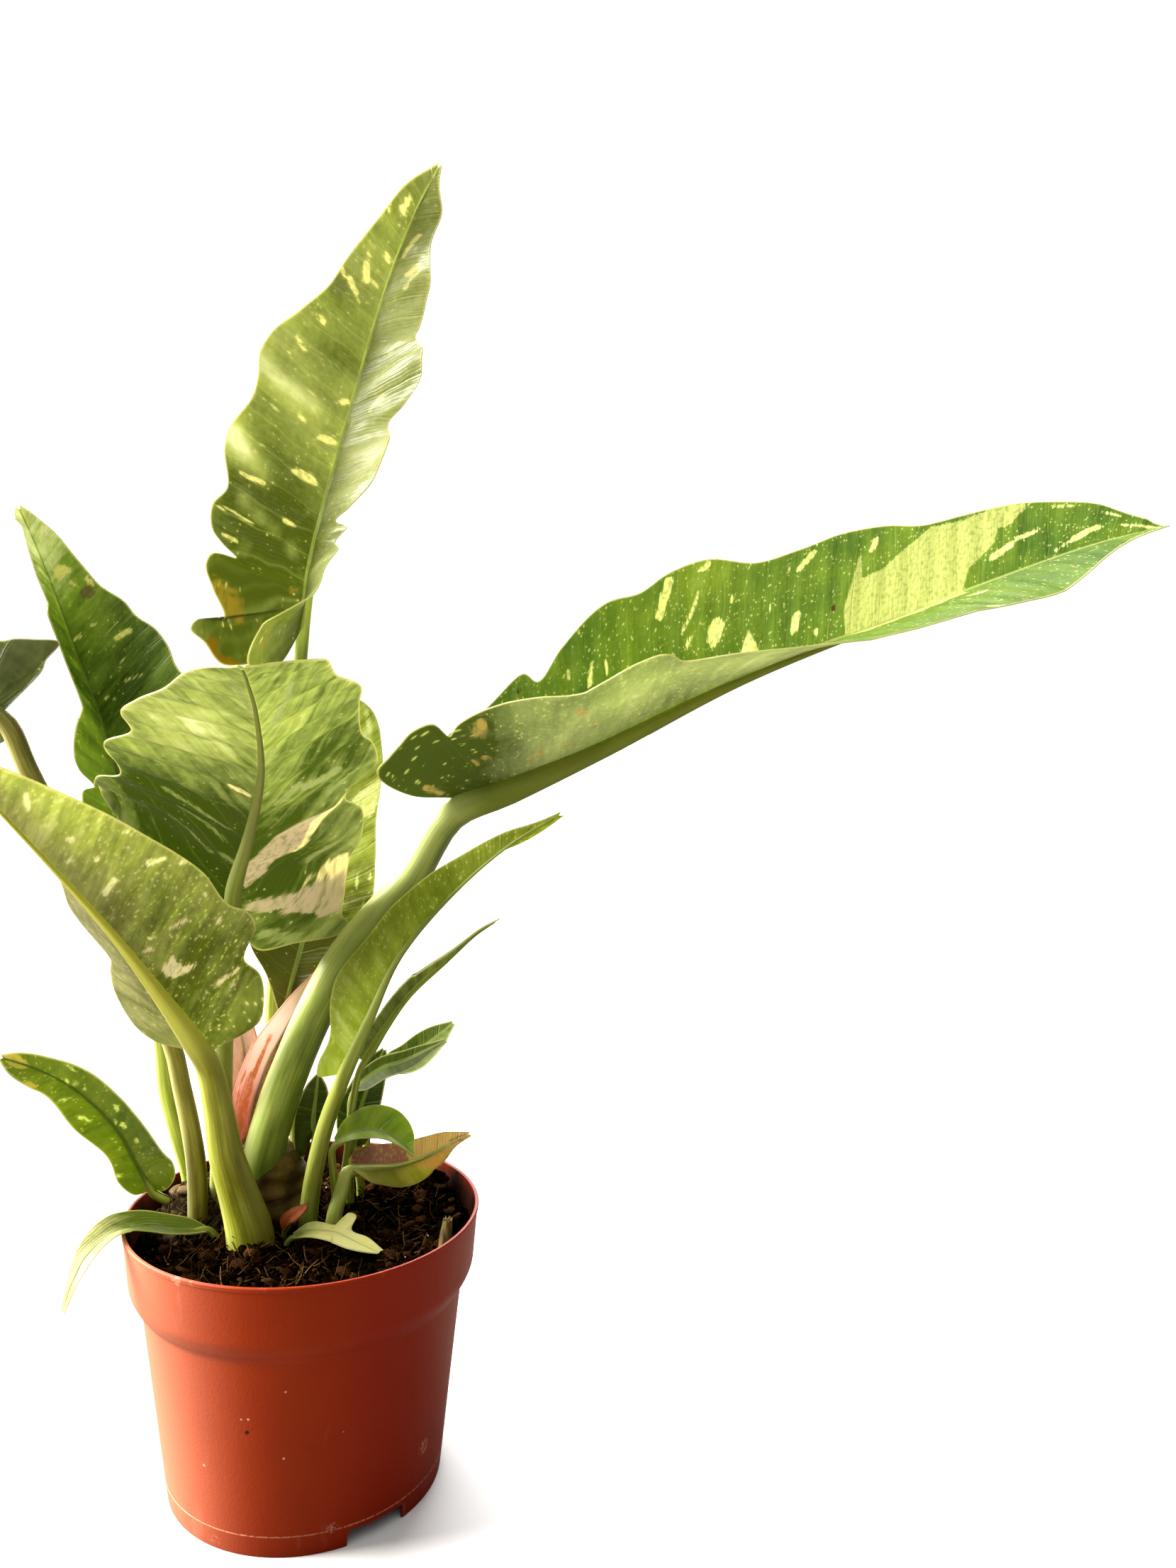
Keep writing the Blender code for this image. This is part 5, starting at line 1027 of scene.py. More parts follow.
def fine_surface(leaf, spine):
    """Fine grid of the blade, with its flat map and each point's distance to the margin."""
    sides = [(-1, leaf.left, vein_starts(leaf.left, spine.length), leaf.fold_left),
             (1, leaf.right, vein_starts(leaf.right, spine.length), leaf.fold_right)]
    ends = np.union1d(sides[0][2], sides[1][2])
    rows = []
    for low, high in zip(ends, ends[1:]):
        run = 0.0
        for _, outline, starts, _ in sides:
            share, reach = margin_at(outline, spine.length, starts, np.linspace(low, high, 9))
            run = max(run, np.hypot(np.diff(share) * spine.length, np.diff(reach)).sum())
        count = max(1, math.ceil(run / MARGIN_STEP))
        rows.append(low + (high - low) * np.arange(count) / count)
    start = np.concatenate([*rows, [ends[-1]]])
    vein = start / start[-1]
    widest = max(reach for _, reach in leaf.left + leaf.right)
    columns = max(3, math.ceil(widest / ACROSS_STEP))
    grid = np.zeros((len(start), 2 * columns + 1, 3))
    across = np.zeros(grid.shape[:2])
    inset = np.zeros(grid.shape[:2])
    grid[:, columns] = spine.at(start)[0]
    height, waves, phase = leaf.ripple
    for side, outline, starts, folds in sides:
        share, reach = margin_at(outline, spine.length, starts, start)
        flatter = np.where(share < 0.5, 1.0, np.clip(reach / FULL_FOLD_REACH, 0.0, 1.0))
        inset[:, columns] = np.maximum(inset[:, columns], reach)
        for column in range(1, columns + 1):
            out = column / columns
            place_share = start + (share - start) * out
            place, _, face, rightward = spine.at(place_share)
            angle = fold_at(folds, place_share) * flatter
            away = reach * out
            wave = height * out ** 2 * np.sin(math.tau * waves * vein + phase * side)
            wave = wave * np.sin(math.pi * vein) ** 0.5
            over = away * np.cos(angle) - wave * np.sin(angle)
            rise = away * np.sin(angle) + wave * np.cos(angle)
            grid[:, columns + side * column] = (
                place + rightward * (side * over)[:, None] + face * rise[:, None])
            across[:, columns + side * column] = side * np.hypot(
                away, (share - start) * spine.length * out)
            inset[:, columns + side * column] = reach * (1.0 - out)
    along = np.repeat((start * spine.length)[:, None], 2 * columns + 1, 1)
    return grid, along, across, inset


def mark_depth(marks, along, across):
    """How far each point lies inside the nearest mark; negative outside, in millimetres."""
    here = np.stack([along.ravel(), across.ravel()], -1)
    depth = np.full(len(here), FAR_OUTSIDE)

    def reach(a, b):
        line = np.subtract(b, a)
        share = np.clip((here - a) @ line / max(line @ line, 1e-9), 0.0, 1.0)
        return np.linalg.norm(here - a - share[:, None] * line, axis=1)

    for mark in marks:
        if isinstance(mark, tuple):
            a0, b0, a1, b1, half = mark
            away = reach(np.array([a0, b0], float), np.array([a1, b1], float))
            depth = np.maximum(depth, half - away)
            continue
        inside = np.zeros(len(here), bool)
        away = np.full(len(here), np.inf)
        for a, b in zip(mark, mark[1:] + mark[:1]):
            away = np.minimum(away, reach(np.array(a, float), np.array(b, float)))
            if a[1] != b[1]:
                # A point level with a corner counts only one of its two sides
                crossing = (here[:, 1] - a[1]) / (b[1] - a[1])
                hit = (crossing > 0) & (crossing <= 1) if b[1] > a[1] else (
                    (crossing >= 0) & (crossing < 1))
                inside ^= hit & (here[:, 0] < a[0] + crossing * (b[0] - a[0]))
        depth = np.maximum(depth, np.where(inside, away, -away))
    return depth


def light_and_tone_at(light_and_tone_spots, along, across):
    """How much lighter or darker than the rest of the blade each point is, by painted light and
    shade and by the leaf's own zones.
    """
    total = np.zeros(along.shape)
    for a, b, spread, amount in light_and_tone_spots:
        total += amount * np.exp(-((along - a) ** 2 + (across - b) ** 2) / spread ** 2)
    return total


def stem_path(leaf, spine):
    """Stem's centre line and radius, carried on under the blade as its midrib."""
    shares, left = np.array(MIDRIB).T
    place, _, face, _ = spine.at(shares)
    radius = (leaf.rib * (1.0 - shares) ** 3 + 0.7) * left
    sunk = place - face * (radius * 0.75)[:, None]
    return [tuple(p) for p in leaf.stem] + [(*p, r) for p, r in zip(sunk, radius)]


def stem_build():
    """Geometry Nodes: a tube along a line of points with radii, joined to the blade."""
    build = Build("stem along its line", Line="NodeSocketObject", Sides="NodeSocketInt",
                  Blade_finish="NodeSocketMaterial", Stem_finish="NodeSocketMaterial")
    line = build.add("GeometryNodeObjectInfo", {"transform_space": "RELATIVE"},
                     {"Object": build.given("Line")}, output="Geometry")
    curve = build.add("GeometryNodeMeshToCurve", inputs={"Mesh": line})
    thick = build.add("GeometryNodeInputNamedAttribute", {"data_type": "FLOAT"},
                      {"Name": "thick"})
    ring = build.add("GeometryNodeCurvePrimitiveCircle", inputs={
        "Resolution": build.given("Sides"), "Radius": 1.0})
    ring = build.add("GeometryNodeStoreNamedAttribute",
                     {"data_type": "FLOAT_VECTOR", "domain": "POINT"},
                     {"Geometry": ring, "Name": "around",
                      "Value": build.add("GeometryNodeInputPosition")})
    tube = build.add("GeometryNodeCurveToMesh", inputs={
        "Curve": curve, "Profile Curve": ring, "Scale": thick, "Fill Caps": True})
    tube = build.add("GeometryNodeSetMaterial", inputs={
        "Geometry": tube, "Material": build.given("Stem_finish")})
    blade = build.add("GeometryNodeSetMaterial", inputs={
        "Geometry": build.given("Geometry"), "Material": build.given("Blade_finish")})
    both = build.add("GeometryNodeJoinGeometry", inputs={0: blade})
    build.tree.links.new(tube.socket, both.socket.node.inputs[0])
    build.end(build.add("GeometryNodeRealizeInstances", inputs={0: both}))
    return build


def blade_finish(leaf, skin, seed, length):
    """Living blade: side veins, flecks, cream and tan marks, pale margin and midrib."""
    finish = Finish(leaf.name + " blade")
    flat = finish.parts(finish.add("ShaderNodeUVMap", {"uv_map": "veins"}))
    along = flat * TO_MM
    across = flat.also("Y") * TO_MM
    out = abs(across)
    if skin.lengthwise:
        along, across = across, along
    under = finish.attribute("under")
    inset = finish.attribute("inset")
    swept = along
    if any(skin.sweep):
        swept = along - out * (along * skin.sweep[1] + skin.sweep[0])
    streak = finish.noise(finish.point(swept * 0.8, across * 0.06, seed))
    fine = finish.noise(finish.point(swept * 2.4, across * 0.22, seed + 3.0))
    broad = finish.noise(finish.point(along * 0.045, across * 0.035, seed + 7.0))
    dots = finish.cells(finish.point(along * 0.8, across * 0.46, seed + 11.0))
    mottle = finish.noise(finish.point(along * 0.16, across * 0.1, seed + 17.0), detail=3.0)
    band = finish.noise(finish.point(swept * 0.22, across * 0.03, seed + 23.0), detail=1.0)
    dusty = finish.noise(finish.point(along * 0.5, across * 0.4, seed + 31.0))

    # Ground colour, clouded and streaked, with painted light and shade
    lit = ((broad - 0.5) * 1.1 + (streak * 0.5 + mottle * 0.9 + band * 1.2 - 1.3)
           * skin.uneven + (dusty - 0.5) * 0.5 + 0.48 + finish.attribute("glow"))
    # Painted sheen: palest where painted light and the clouds make the blade lightest
    pale_and_sheen = lit.ramp(0.9, 1.7)
    lit = lit.at_least(0.0).at_most(1.0)
    if skin.lengthwise:
        colour = finish.mix(lit, tone(*skin.upper), tone(*skin.upper_light))
    else:
        dark = finish.mix(under, tone(*skin.upper), tone(*skin.under))
        light = finish.mix(under, tone(*skin.upper_light), tone(*skin.under_light))
        colour = finish.mix(lit, dark, light)
    colour = finish.mix(pale_and_sheen * 0.7, colour, tone(*skin.bright))

    # Side veins with fine ones between them, flecks and marks
    vein = swept + (broad - 0.5) * 8.0
    main = vein.beat(5.0).ramp(0.7, 0.0)
    hair = vein.beat(0.75).ramp(0.5, 0.0)
    colour = finish.mix((main + hair * 0.3) * skin.veined, colour, tone(*skin.vein))
    if skin.flecks:
        level = 0.66 - 0.2 * skin.flecks
        fleck = dots.ramp(0.34, 0.2) * (dusty + (mottle - 0.5) * 0.5).ramp(level, level + 0.05)
        colour = finish.mix(fleck * 0.8, colour, tone(*skin.fleck))
    for kind in MARK_KINDS:
        if getattr(skin, kind + "s"):
            edge = finish.attribute(kind) + (streak - 0.5) * 3.0 + (fine - 0.5) * 1.6
            marbled = 1.0 - (fine * 0.4 + dusty * 0.7).ramp(0.53, 0.66) * 0.45
            colour = finish.mix(edge.ramp(-0.35, 0.25) * marbled, colour,
                                tone(*getattr(skin, kind)))

    # Midrib, margin and relief
    if not skin.lengthwise:
        rib_width = (1.0 - along / length) * 0.9 + 0.3
        rib = (out - rib_width).ramp(0.5, 0.0)
        colour = finish.mix(rib * 0.85, colour, tone(*skin.rib))
    colour = finish.mix(inset.ramp(0.7, 0.25) * 0.8, colour, tone(*skin.margin))
    side = under * 2.0 - 1.0
    height = (side * (main + hair * 0.25) * (skin.veined * 2.4) + (streak - 0.5) * 0.35
              + (band - 0.5) * 0.8 + 0.5)
    return finish.close(colour, (fine - 0.5) * 0.2 + skin.roughness, height, 0.0005,
                        through=skin.through)


def stem_finish(leaf, skin, seed):
    """Leaf stalk with fine lengthwise stripes, darker at its foot, with a painted highlight on
    the side that faces the light and painted shade on the other side.
    """
    finish = Finish(leaf.name + " stem")
    along = finish.attribute("along")
    around = finish.parts(finish.attribute("around", "Vector"))
    stripe = finish.noise(finish.point(around * 11.0, around.also("Y") * 11.0,
                                       along * 0.012 + seed), detail=3.0)
    patch = finish.noise(finish.point(around * 1.6, around.also("Y") * 1.6,
                                      along * 0.04 + seed), detail=3.0)
    colour = finish.mix((stripe * 0.4 + patch * 0.8).ramp(0.42, 0.82), tone(*skin.stem),
                        tone(*skin.stem_light))
    colour = finish.mix(stripe.ramp(0.42, 0.28) * 0.25 + patch.ramp(0.42, 0.25) * 0.3, colour,
                        tone(*skin.stem_dark))
    joint = np.linalg.norm(np.diff(np.array(leaf.stem)[:, :3], axis=0), axis=1).sum()
    on_blade = along.ramp(joint - 2.0, joint + 20.0)
    colour = finish.mix(on_blade * (0.5 + stripe * 0.6).at_most(1.0), colour, tone(*skin.keel))
    # Painted highlight on the side that faces the light, painted shade on the side away from it
    # and on the rear
    side = finish.attribute("flank") + (stripe - 0.5) * 0.4
    colour = finish.mix(side.ramp(0.2, 0.95) * skin.painted_lit_side_share, colour, tone(*skin.flank))
    colour = finish.mix(side.ramp(-0.25, -0.9) * skin.shaded, colour, tone(*skin.stem_dark))
    colour = finish.mix(along.ramp(30.0, 2.0) * 0.6, colour, tone(*skin.stem_dark))
    # Painted light on the lit side of the stem's upper part, towards the blade
    if skin.paler:
        high = along.ramp(joint * 0.35, joint * 0.9) * (1.0 - on_blade) * side.ramp(-0.9, 0.2)
        colour = finish.mix(high * skin.paler, colour, tone(*skin.flank))
    return finish.close(colour, (stripe - 0.5) * 0.2 + 0.4, stripe, 0.00015,
                        through=on_blade * 0.45 + 0.12)


def blade_sheet(leaf, skin, spine):
    """Blade as a thin sheet that carries its flat map, its marks, and its painted light and shade
    with the leaf's own lighter and darker zones.
    """
    grid, along, across, inset = fine_surface(leaf, spine)
    rows, columns = grid.shape[:2]
    count = rows * columns
    index = np.arange(count).reshape(rows, columns)
    a = index[:-1, :-1].ravel()
    b = index[:-1, 1:].ravel()
    c = index[1:, :-1].ravel()
    d = index[1:, 1:].ravel()
    middle = grid.reshape(-1, 3)
    split = np.vstack([np.stack([a, b, d], 1), np.stack([a, d, c], 1)])
    normals = point_normals(middle, split)
    swell = np.sin(math.tau * along / skin.quilt_gap) * np.clip(np.abs(across) / 12, 0, 1)
    swell = skin.quilt * swell * np.clip(inset / 6.0, 0.0, 1.0)
    middle = middle + normals * swell.reshape(-1, 1)
    points = np.vstack([middle + normals * BLADE / 2, middle - normals * BLADE / 2])
    rim = np.concatenate([index[0], index[1:, -1], index[-1, -2::-1], index[-2:0:-1, 0]])
    after = np.roll(rim, -1)
    faces = np.vstack([np.stack([a, b, d, c], 1), np.stack([c, d, b, a], 1) + count,
                       np.stack([after, rim, rim + count, after + count], 1)])
    made = make_object(leaf.name + "_grown", points, faces)
    corner = np.zeros(len(made.data.loops), np.int32)
    made.data.loops.foreach_get("vertex_index", corner)
    flat = np.stack([along.ravel(), across.ravel()], 1)[corner % count] * MM
    made.data.uv_layers.new(name="veins").data.foreach_set("uv", flat.ravel())
    store(made, "under", np.repeat([0.0, 1.0], count))
    store(made, "inset", np.tile(inset.ravel(), 2))
    store(made, "glow", np.tile(light_and_tone_at(skin.light_and_tone_spots, along, across).ravel(), 2))
    for kind in MARK_KINDS:
        marks = getattr(skin, kind + "s")
        if marks:
            store(made, kind, np.tile(mark_depth(marks, along, across), 2))
    shade_round(made, 50.0)
    return made


def stem_line(leaf, spine):
    """Line along the stem and midrib that carries its radius and its length so far."""
    path = curve_through(stem_path(leaf, spine), STEM_STEPS)
    steps = np.linalg.norm(np.diff(path[:, :3], axis=0), axis=1)
    line = make_object(leaf.name + "_line", path[:, :3], (),
                       [(i, i + 1) for i in range(len(path) - 1)])
    store(line, "thick", path[:, 3] * MM)
    store(line, "along", np.concatenate([[0.0], np.cumsum(steps)]))
    return line


def lit_flank(made):
    """How squarely each point faces the light's side, less where it faces the rear; this places
    the stem's painted highlight and painted shade.
    """
    normals = np.zeros(len(made.data.vertices) * 3, np.float32)
    made.data.vertex_normals.foreach_get("vector", normals)
    normals = normals.reshape(-1, 3)
    # Sides that face the rear get painted shade
    rear = np.clip(normals[:, 1] - 0.15, 0.0, 1.0) * 1.8
    return normals @ unit((*LIGHT_SIDE, 0.15)) - rear


def grow_leaf(leaf, skin, seed, stems):
    """Blade with its stem and midrib as one piece."""
    spine = Spine(leaf)
    made = blade_sheet(leaf, skin, spine)
    line = stem_line(leaf, spine)
    stems.run(made, Line=line, Sides=STEM_SIDES,
              Blade_finish=blade_finish(leaf, skin, seed, spine.length),
              Stem_finish=stem_finish(leaf, skin, seed))
    bpy.data.objects.remove(line)
    store(made, "flank", lit_flank(made))
    return made


def turned(name, outline, sides):
    """Solid of revolution around the Z axis; the outline's ends lie on the axis or meet."""
    points = []
    rings = []
    for radius, height in outline:
        count = 1 if radius == 0.0 else sides
        rings.append(list(range(len(points), len(points) + count)))
        for i in range(count):
            angle = math.tau * i / sides
            points.append((radius * math.cos(angle), radius * math.sin(angle), height))
    faces = []
    for upper, lower in zip(rings, rings[1:] + rings[:1]):
        for i in range(sides):
            j = (i + 1) % sides
            if len(upper) == 1 and len(lower) == 1:
                continue
            if len(upper) == 1:
                faces.append((upper[0], lower[i], lower[j]))
            elif len(lower) == 1:
                faces.append((upper[i], lower[0], upper[j]))
            else:
                faces.append((upper[i], lower[i], lower[j], upper[j]))
    return make_object(name, points, faces)


def rounded(outline, corners):
    """Outline with the numbered corners replaced by arcs of the given radius."""
    smooth = []
    for i, point in enumerate(outline):
        if i not in corners:
            smooth.append(point)
            continue
        here = np.array(point, float)
        before = np.array(outline[i - 1], float) - here
        after = np.array(outline[(i + 1) % len(outline)], float) - here
        size = min(corners[i], 0.45 * np.linalg.norm(before), 0.45 * np.linalg.norm(after))
        start = here + unit(before) * size
        end = here + unit(after) * size
        for share in np.linspace(0.0, 1.0, 5):
            mid = (1 - share) ** 2 * start + 2 * share * (1 - share) * here + share ** 2 * end
            smooth.append(tuple(mid))
    return smooth


def pot_outline():
    """Half section: down the outside from the lip, under the floor and up the inside."""
    outline = [
        (RIM_RADIUS - 0.3, POT_HEIGHT),
        (RIM_RADIUS, POT_HEIGHT - 0.4),
        (RIM_RADIUS - 0.1, POT_HEIGHT - 1.8),
        (RIM_RADIUS - 0.5, POT_HEIGHT - 2.2),
        (BAND_FOOT_RADIUS, BAND_UNDERSIDE),
        (CREASE_RADIUS, BAND_CREASE),
        (WALL_TOP_RADIUS, WALL_TOP),
        (FOOT_RADIUS + 1.05, GROOVE_HEIGHT + 0.3),
        (FOOT_RADIUS + 0.75, GROOVE_HEIGHT),
        (FOOT_RADIUS + 1.0, GROOVE_HEIGHT - 0.3),
        (FOOT_RADIUS, 0.0),
        (FOOT_RADIUS - POT_WALL, 0.0),
        (FOOT_RADIUS - POT_WALL + 0.6, GUTTER_HEIGHT),
        (PAD_RADIUS + 3.0, GUTTER_HEIGHT),
        (PAD_RADIUS, 0.0),
        (0.0, 0.0),
        (0.0, POT_WALL),
        (PAD_RADIUS - 1.0, POT_WALL),
        (PAD_RADIUS + 2.0, GUTTER_HEIGHT + POT_WALL),
        (FOOT_RADIUS - POT_WALL + 1.0, GUTTER_HEIGHT + POT_WALL),
        (WALL_TOP_RADIUS - POT_WALL, WALL_TOP),
        (CREASE_RADIUS - POT_WALL, BAND_CREASE),
        (BAND_FOOT_RADIUS - POT_WALL, BAND_UNDERSIDE),
        (RIM_RADIUS - POT_WALL - 0.2, POT_HEIGHT - 0.3),
        (RIM_RADIUS - POT_WALL + 0.2, POT_HEIGHT),
    ]
    return rounded(outline, {4: 3.0, 5: 1.6, 6: 1.5, 10: 0.5, 13: 1.0, 14: 1.0,
                             20: 1.5, 21: 1.6, 22: 3.0})


def notch_cutter(azimuth):
    """Block that opens a notch in the foot, with its upper corners cut off."""
    angle = math.radians(azimuth)
    out = np.array([math.cos(angle), math.sin(angle), 0.0])
    across = np.array([-math.sin(angle), math.cos(angle), 0.0])
    outline = ((-1, -2), (1, -2), (1, NOTCH_HEIGHT - 1.5), (0.88, NOTCH_HEIGHT),
               (-0.88, NOTCH_HEIGHT), (-1, NOTCH_HEIGHT - 1.5))
    points = [out * radius + across * side * NOTCH_WIDTH / 2 + (0, 0, height)
              for radius in (FOOT_RADIUS - 9.0, FOOT_RADIUS + 4.0)
              for side, height in outline]
    return stacked("notch", points, len(outline))


def drain_cutter(azimuth):
    """Round bar that opens a drain hole in the raised gutter."""
    sides = 24
    angle = math.radians(azimuth)
    radius = PAD_RADIUS + 11.0
    turns = [math.tau * i / sides for i in range(sides)]
    points = [(radius * math.cos(angle) + DRAIN_RADIUS * math.cos(turn),
               radius * math.sin(angle) + DRAIN_RADIUS * math.sin(turn), z)
              for z in (GUTTER_HEIGHT - 3.0, GUTTER_HEIGHT + 5.0) for turn in turns]
    return stacked("drain", points, sides)


def cut_away(made, cutters):
    """Cut all the cutters out of a piece, and remove them."""
    group = bpy.data.collections.new("cutters")
    for cutter in cutters:
        bpy.context.scene.collection.objects.unlink(cutter)
        group.objects.link(cutter)
    cut = made.modifiers.new("cut", "BOOLEAN")
    cut.operation = "DIFFERENCE"
    cut.operand_type = "COLLECTION"
    cut.collection = group
    cut.solver = "EXACT"
    bpy.context.view_layer.update()
    graph = bpy.context.evaluated_depsgraph_get()
    mesh = bpy.data.meshes.new_from_object(made.evaluated_get(graph))
    made.modifiers.clear()
    made.data = mesh
    for cutter in cutters:
        bpy.data.objects.remove(cutter)
    bpy.data.collections.remove(group)


def make_pot():
    """Pot with a rolled lip, a band under it, a raised gutter, notches and drain holes."""
    pot = turned("nursery_pot", pot_outline(), POT_SIDES)
    cut_away(pot, [make(azimuth) for azimuth in NOTCH_AZIMUTHS
                   for make in (notch_cutter, drain_cutter)])
    shade_round(pot, 28.0)
    return pot


def darken_inside(pot):
    """Give the inner wall above the soil its own finish."""
    pot.data.materials.append(inner_wall_finish())
    for face in pot.data.polygons:
        x, y, z = (value / MM for value in face.center)
        middle = BAND_FOOT_RADIUS - POT_WALL / 2 + WALL_LEAN * (z - BAND_UNDERSIDE)
        if BAND_UNDERSIDE < z < POT_HEIGHT - 0.9 and math.hypot(x, y) < middle:
            face.material_index = 1


def pot_finish():
    """Satin moulded plastic with scuffs, specks of dirt and wear at the foot and rim, with
    painted light on the side that faces the light and painted shade on the other side and the
    rear.
    """
    finish = Finish("terracotta plastic")
    place = finish.object_place()
    x = finish.parts(place)
    y = x.also("Y")
    height = x.also("Z") * TO_MM
    lit_x, lit_y = LIGHT_SIDE
    facing_light = (x * lit_x + y * lit_y) / x.maths("SQRT", x * x + y * y)
    cloud = finish.noise(place, 22.0, 3.0)
    grain = finish.noise(place, 900.0)
    smear = finish.noise(finish.stretched(place, (60.0, 60.0, 14.0)), 1.0, 4.0, 0.6)
    colour = finish.mix(cloud.ramp(0.3, 0.75), tone(158, 44, 2), tone(170, 52, 4))
    # Painted light: paler where it faces the light; painted shade: deeper in colour away from it
    # and at the rear
    colour = finish.mix(facing_light.ramp(0.0, 1.0) * y.ramp(0.025, 0.0) * 0.55, colour,
                        tone(226, 150, 116))
    colour = finish.mix(facing_light.ramp(0.1, -0.8) * 0.8, colour, tone(136, 16, 0))
    # Painted shade on the rear
    colour = finish.mix(y.ramp(0.0, 0.04) * 0.9, colour, tone(90, 34, 12))
    worn = (smear + (height.ramp(24.0, 2.0) + height.ramp(114.0, 118.4)) * 0.09).ramp(0.66, 0.76)
    colour = finish.mix(worn * 0.1, colour, tone(226, 170, 140))

    def patch(spot, size, edge):
        """1 within a rough-edged patch of the given size round a point of the wall."""
        away = finish.away_from(place, spot)
        return (away + (grain - 0.5) * edge).ramp(size, size * 0.6)

    for spot, size in POT_SPECKS:
        colour = finish.mix(patch(spot, size, 0.8) * 0.75, colour, tone(240, 200, 176))
    for spot, size in POT_SCUFFS:
        rub = patch(spot, size, 4.0) * (smear + (grain - 0.5) * 0.9).ramp(0.5, 0.62)
        colour = finish.mix(rub * 0.35, colour, tone(232, 184, 158))
    colour = finish.mix(patch(POT_NICK, 1.1, 1.0), colour, tone(58, 16, 8))
    specks = finish.cells(place, 95.0).ramp(0.07, 0.05)
    chosen = finish.noise(place, 31.0).ramp(0.62, 0.68)
    colour = finish.mix(specks * chosen * 0.6, colour, tone(236, 204, 184))
    # Painted shade in the crease under the band
    crease_shade = (abs(height - BAND_CREASE) + (smear - 0.5)).ramp(0.5, 0.2)
    colour = finish.mix(crease_shade * 0.25, colour, tone(120, 36, 14))
    groove = (abs(height - GROOVE_HEIGHT) + (smear - 0.5) * 0.4).ramp(0.45, 0.2)
    colour = finish.mix(groove * 0.6 * grain.ramp(0.3, 0.6), colour, tone(232, 168, 136))
    rough = 0.5 + (smear - 0.5) * 0.16 + worn * 0.1
    return finish.close(colour, rough, grain * 0.5 + smear * 0.5, 0.0002,
                        Specular_IOR_Level=0.32, Specular_Tint=(1.0, 0.55, 0.36, 1.0))


def inner_wall_finish():
    """Inside of the pot above the soil, dark brown, paler towards the rim."""
    finish = Finish("stained plastic")
    place = finish.object_place()
    smear = finish.noise(finish.stretched(place, (60.0, 60.0, 26.0)), 1.0, 4.0, 0.6)
    height = finish.parts(place).also("Z") * TO_MM
    towards_rim = (height + (smear - 0.5) * 16.0).ramp(112.0, 122.0)
    colour = finish.mix(smear.ramp(0.35, 0.65), tone(26, 10, 4), tone(62, 26, 14))
    colour = finish.mix(towards_rim * 0.7, colour, tone(124, 38, 14))
    return finish.close(colour, 0.85, smear, 0.0003, Specular_IOR_Level=0.04)


def soil_height(x, y):
    """Level of the soil: a low dome with lumps and fine unevenness."""
    radius = np.hypot(x, y)
    level = SOIL_LEVEL + (SOIL_EDGE_LEVEL - SOIL_LEVEL) * (radius / RIM_RADIUS) ** 3
    for lump_x, lump_y, height, spread in SOIL_LUMPS:
        away = ((x - lump_x) ** 2 + (y - lump_y) ** 2) / spread ** 2
        level = level + height * np.exp(-away)
    uneven = np.sin(0.31 * x + 1.3) * np.cos(0.27 * y - 0.6) + np.sin(0.17 * (x - y))
    return level + 0.7 * uneven


def crumble(points, sizes, seed):
    """Sum of smooth random waves of several sizes at each point, about -1 to 1."""
    source = np.random.default_rng(seed)
    total = np.zeros(len(points))
    for size in sizes:
        for _ in range(7):
            way = unit(source.normal(size=points.shape[1]))
            total += size / max(sizes) * np.sin(
                points @ way * math.tau / size * source.uniform(0.7, 1.4)
                + source.uniform(0, math.tau)) / 4.0
    return total


def make_soil_bed():
    """Soil that fills the pot, with a crumbly top."""
    radii = (0.0, *np.linspace(1.2, SOIL_RADIUS, SOIL_RINGS))
    outline = [*((radius, SOIL_LEVEL) for radius in radii), *SOIL_BODY]
    bed = turned("potting_mix", outline, SOIL_SIDES)
    points = points_of(bed)
    top = points[:, 2] > SOIL_LEVEL - 0.1
    x, y = points[top, 0], points[top, 1]
    fade = 0.6 + 0.4 * np.clip((SOIL_RADIUS - np.hypot(x, y)) / 8.0, 0.0, 1.0)
    level = SOIL_EDGE_LEVEL + (soil_height(x, y) - SOIL_EDGE_LEVEL) * fade
    level += crumble(np.stack([x, y], 1), (14.0, 7.0, 3.6), 5) * 1.1
    points[top, 2] = level
    move_points(bed, points)
    shade_round(bed)
    return bed


def dry_mound(finish, place):
    """1 on the drier, paler heap at the back left, 0 away from it."""
    away = finish.away_from(place, DRY_MOUND)
    return (away + (finish.noise(place, 120.0) - 0.5) * 14.0).ramp(30.0, 16.0)


def soil_finish():
    """Moist peat and bark: near black with brown crumbs."""
    finish = Finish("potting mix")
    place = finish.object_place()
    crumb = finish.noise(place, 260.0, 4.0, 0.65)
    cloud = finish.noise(place, 45.0, 3.0)
    colour = finish.mix(crumb.ramp(0.45, 0.75), tone(1, 1, 0), tone(24, 13, 5))
    colour = finish.mix(cloud.ramp(0.5, 0.75) * 0.5, colour, tone(12, 7, 3))
    colour = finish.mix(dry_mound(finish, place) * 0.8, colour, tone(62, 48, 30))
    return finish.close(colour, 0.95 - crumb * 0.15, crumb + cloud * 0.6, 0.0016,
                        Specular_IOR_Level=0.0)


def crumb_finish(name, dark, light):
    """Bits of bark, coir or grit, each in its own shade."""
    finish = Finish(name)
    place = finish.object_place()
    grain = finish.noise(place, 420.0, 3.0, 0.6)
    own = finish.attribute("shade")
    colour = finish.mix((own * own + (grain - 0.5) * 0.8).at_least(0.0).at_most(1.0), tone(*dark),
                        tone(*light))
    dry = finish.mix((own + (grain - 0.5) * 1.2).at_least(0.0).at_most(1.0), tone(52, 41, 27),
                     tone(120, 101, 72))
    colour = finish.mix(dry_mound(finish, place) * 0.85, colour, dry)
    return finish.close(colour, 0.9 - grain * 0.1, grain, 0.0006, Specular_IOR_Level=0.0)


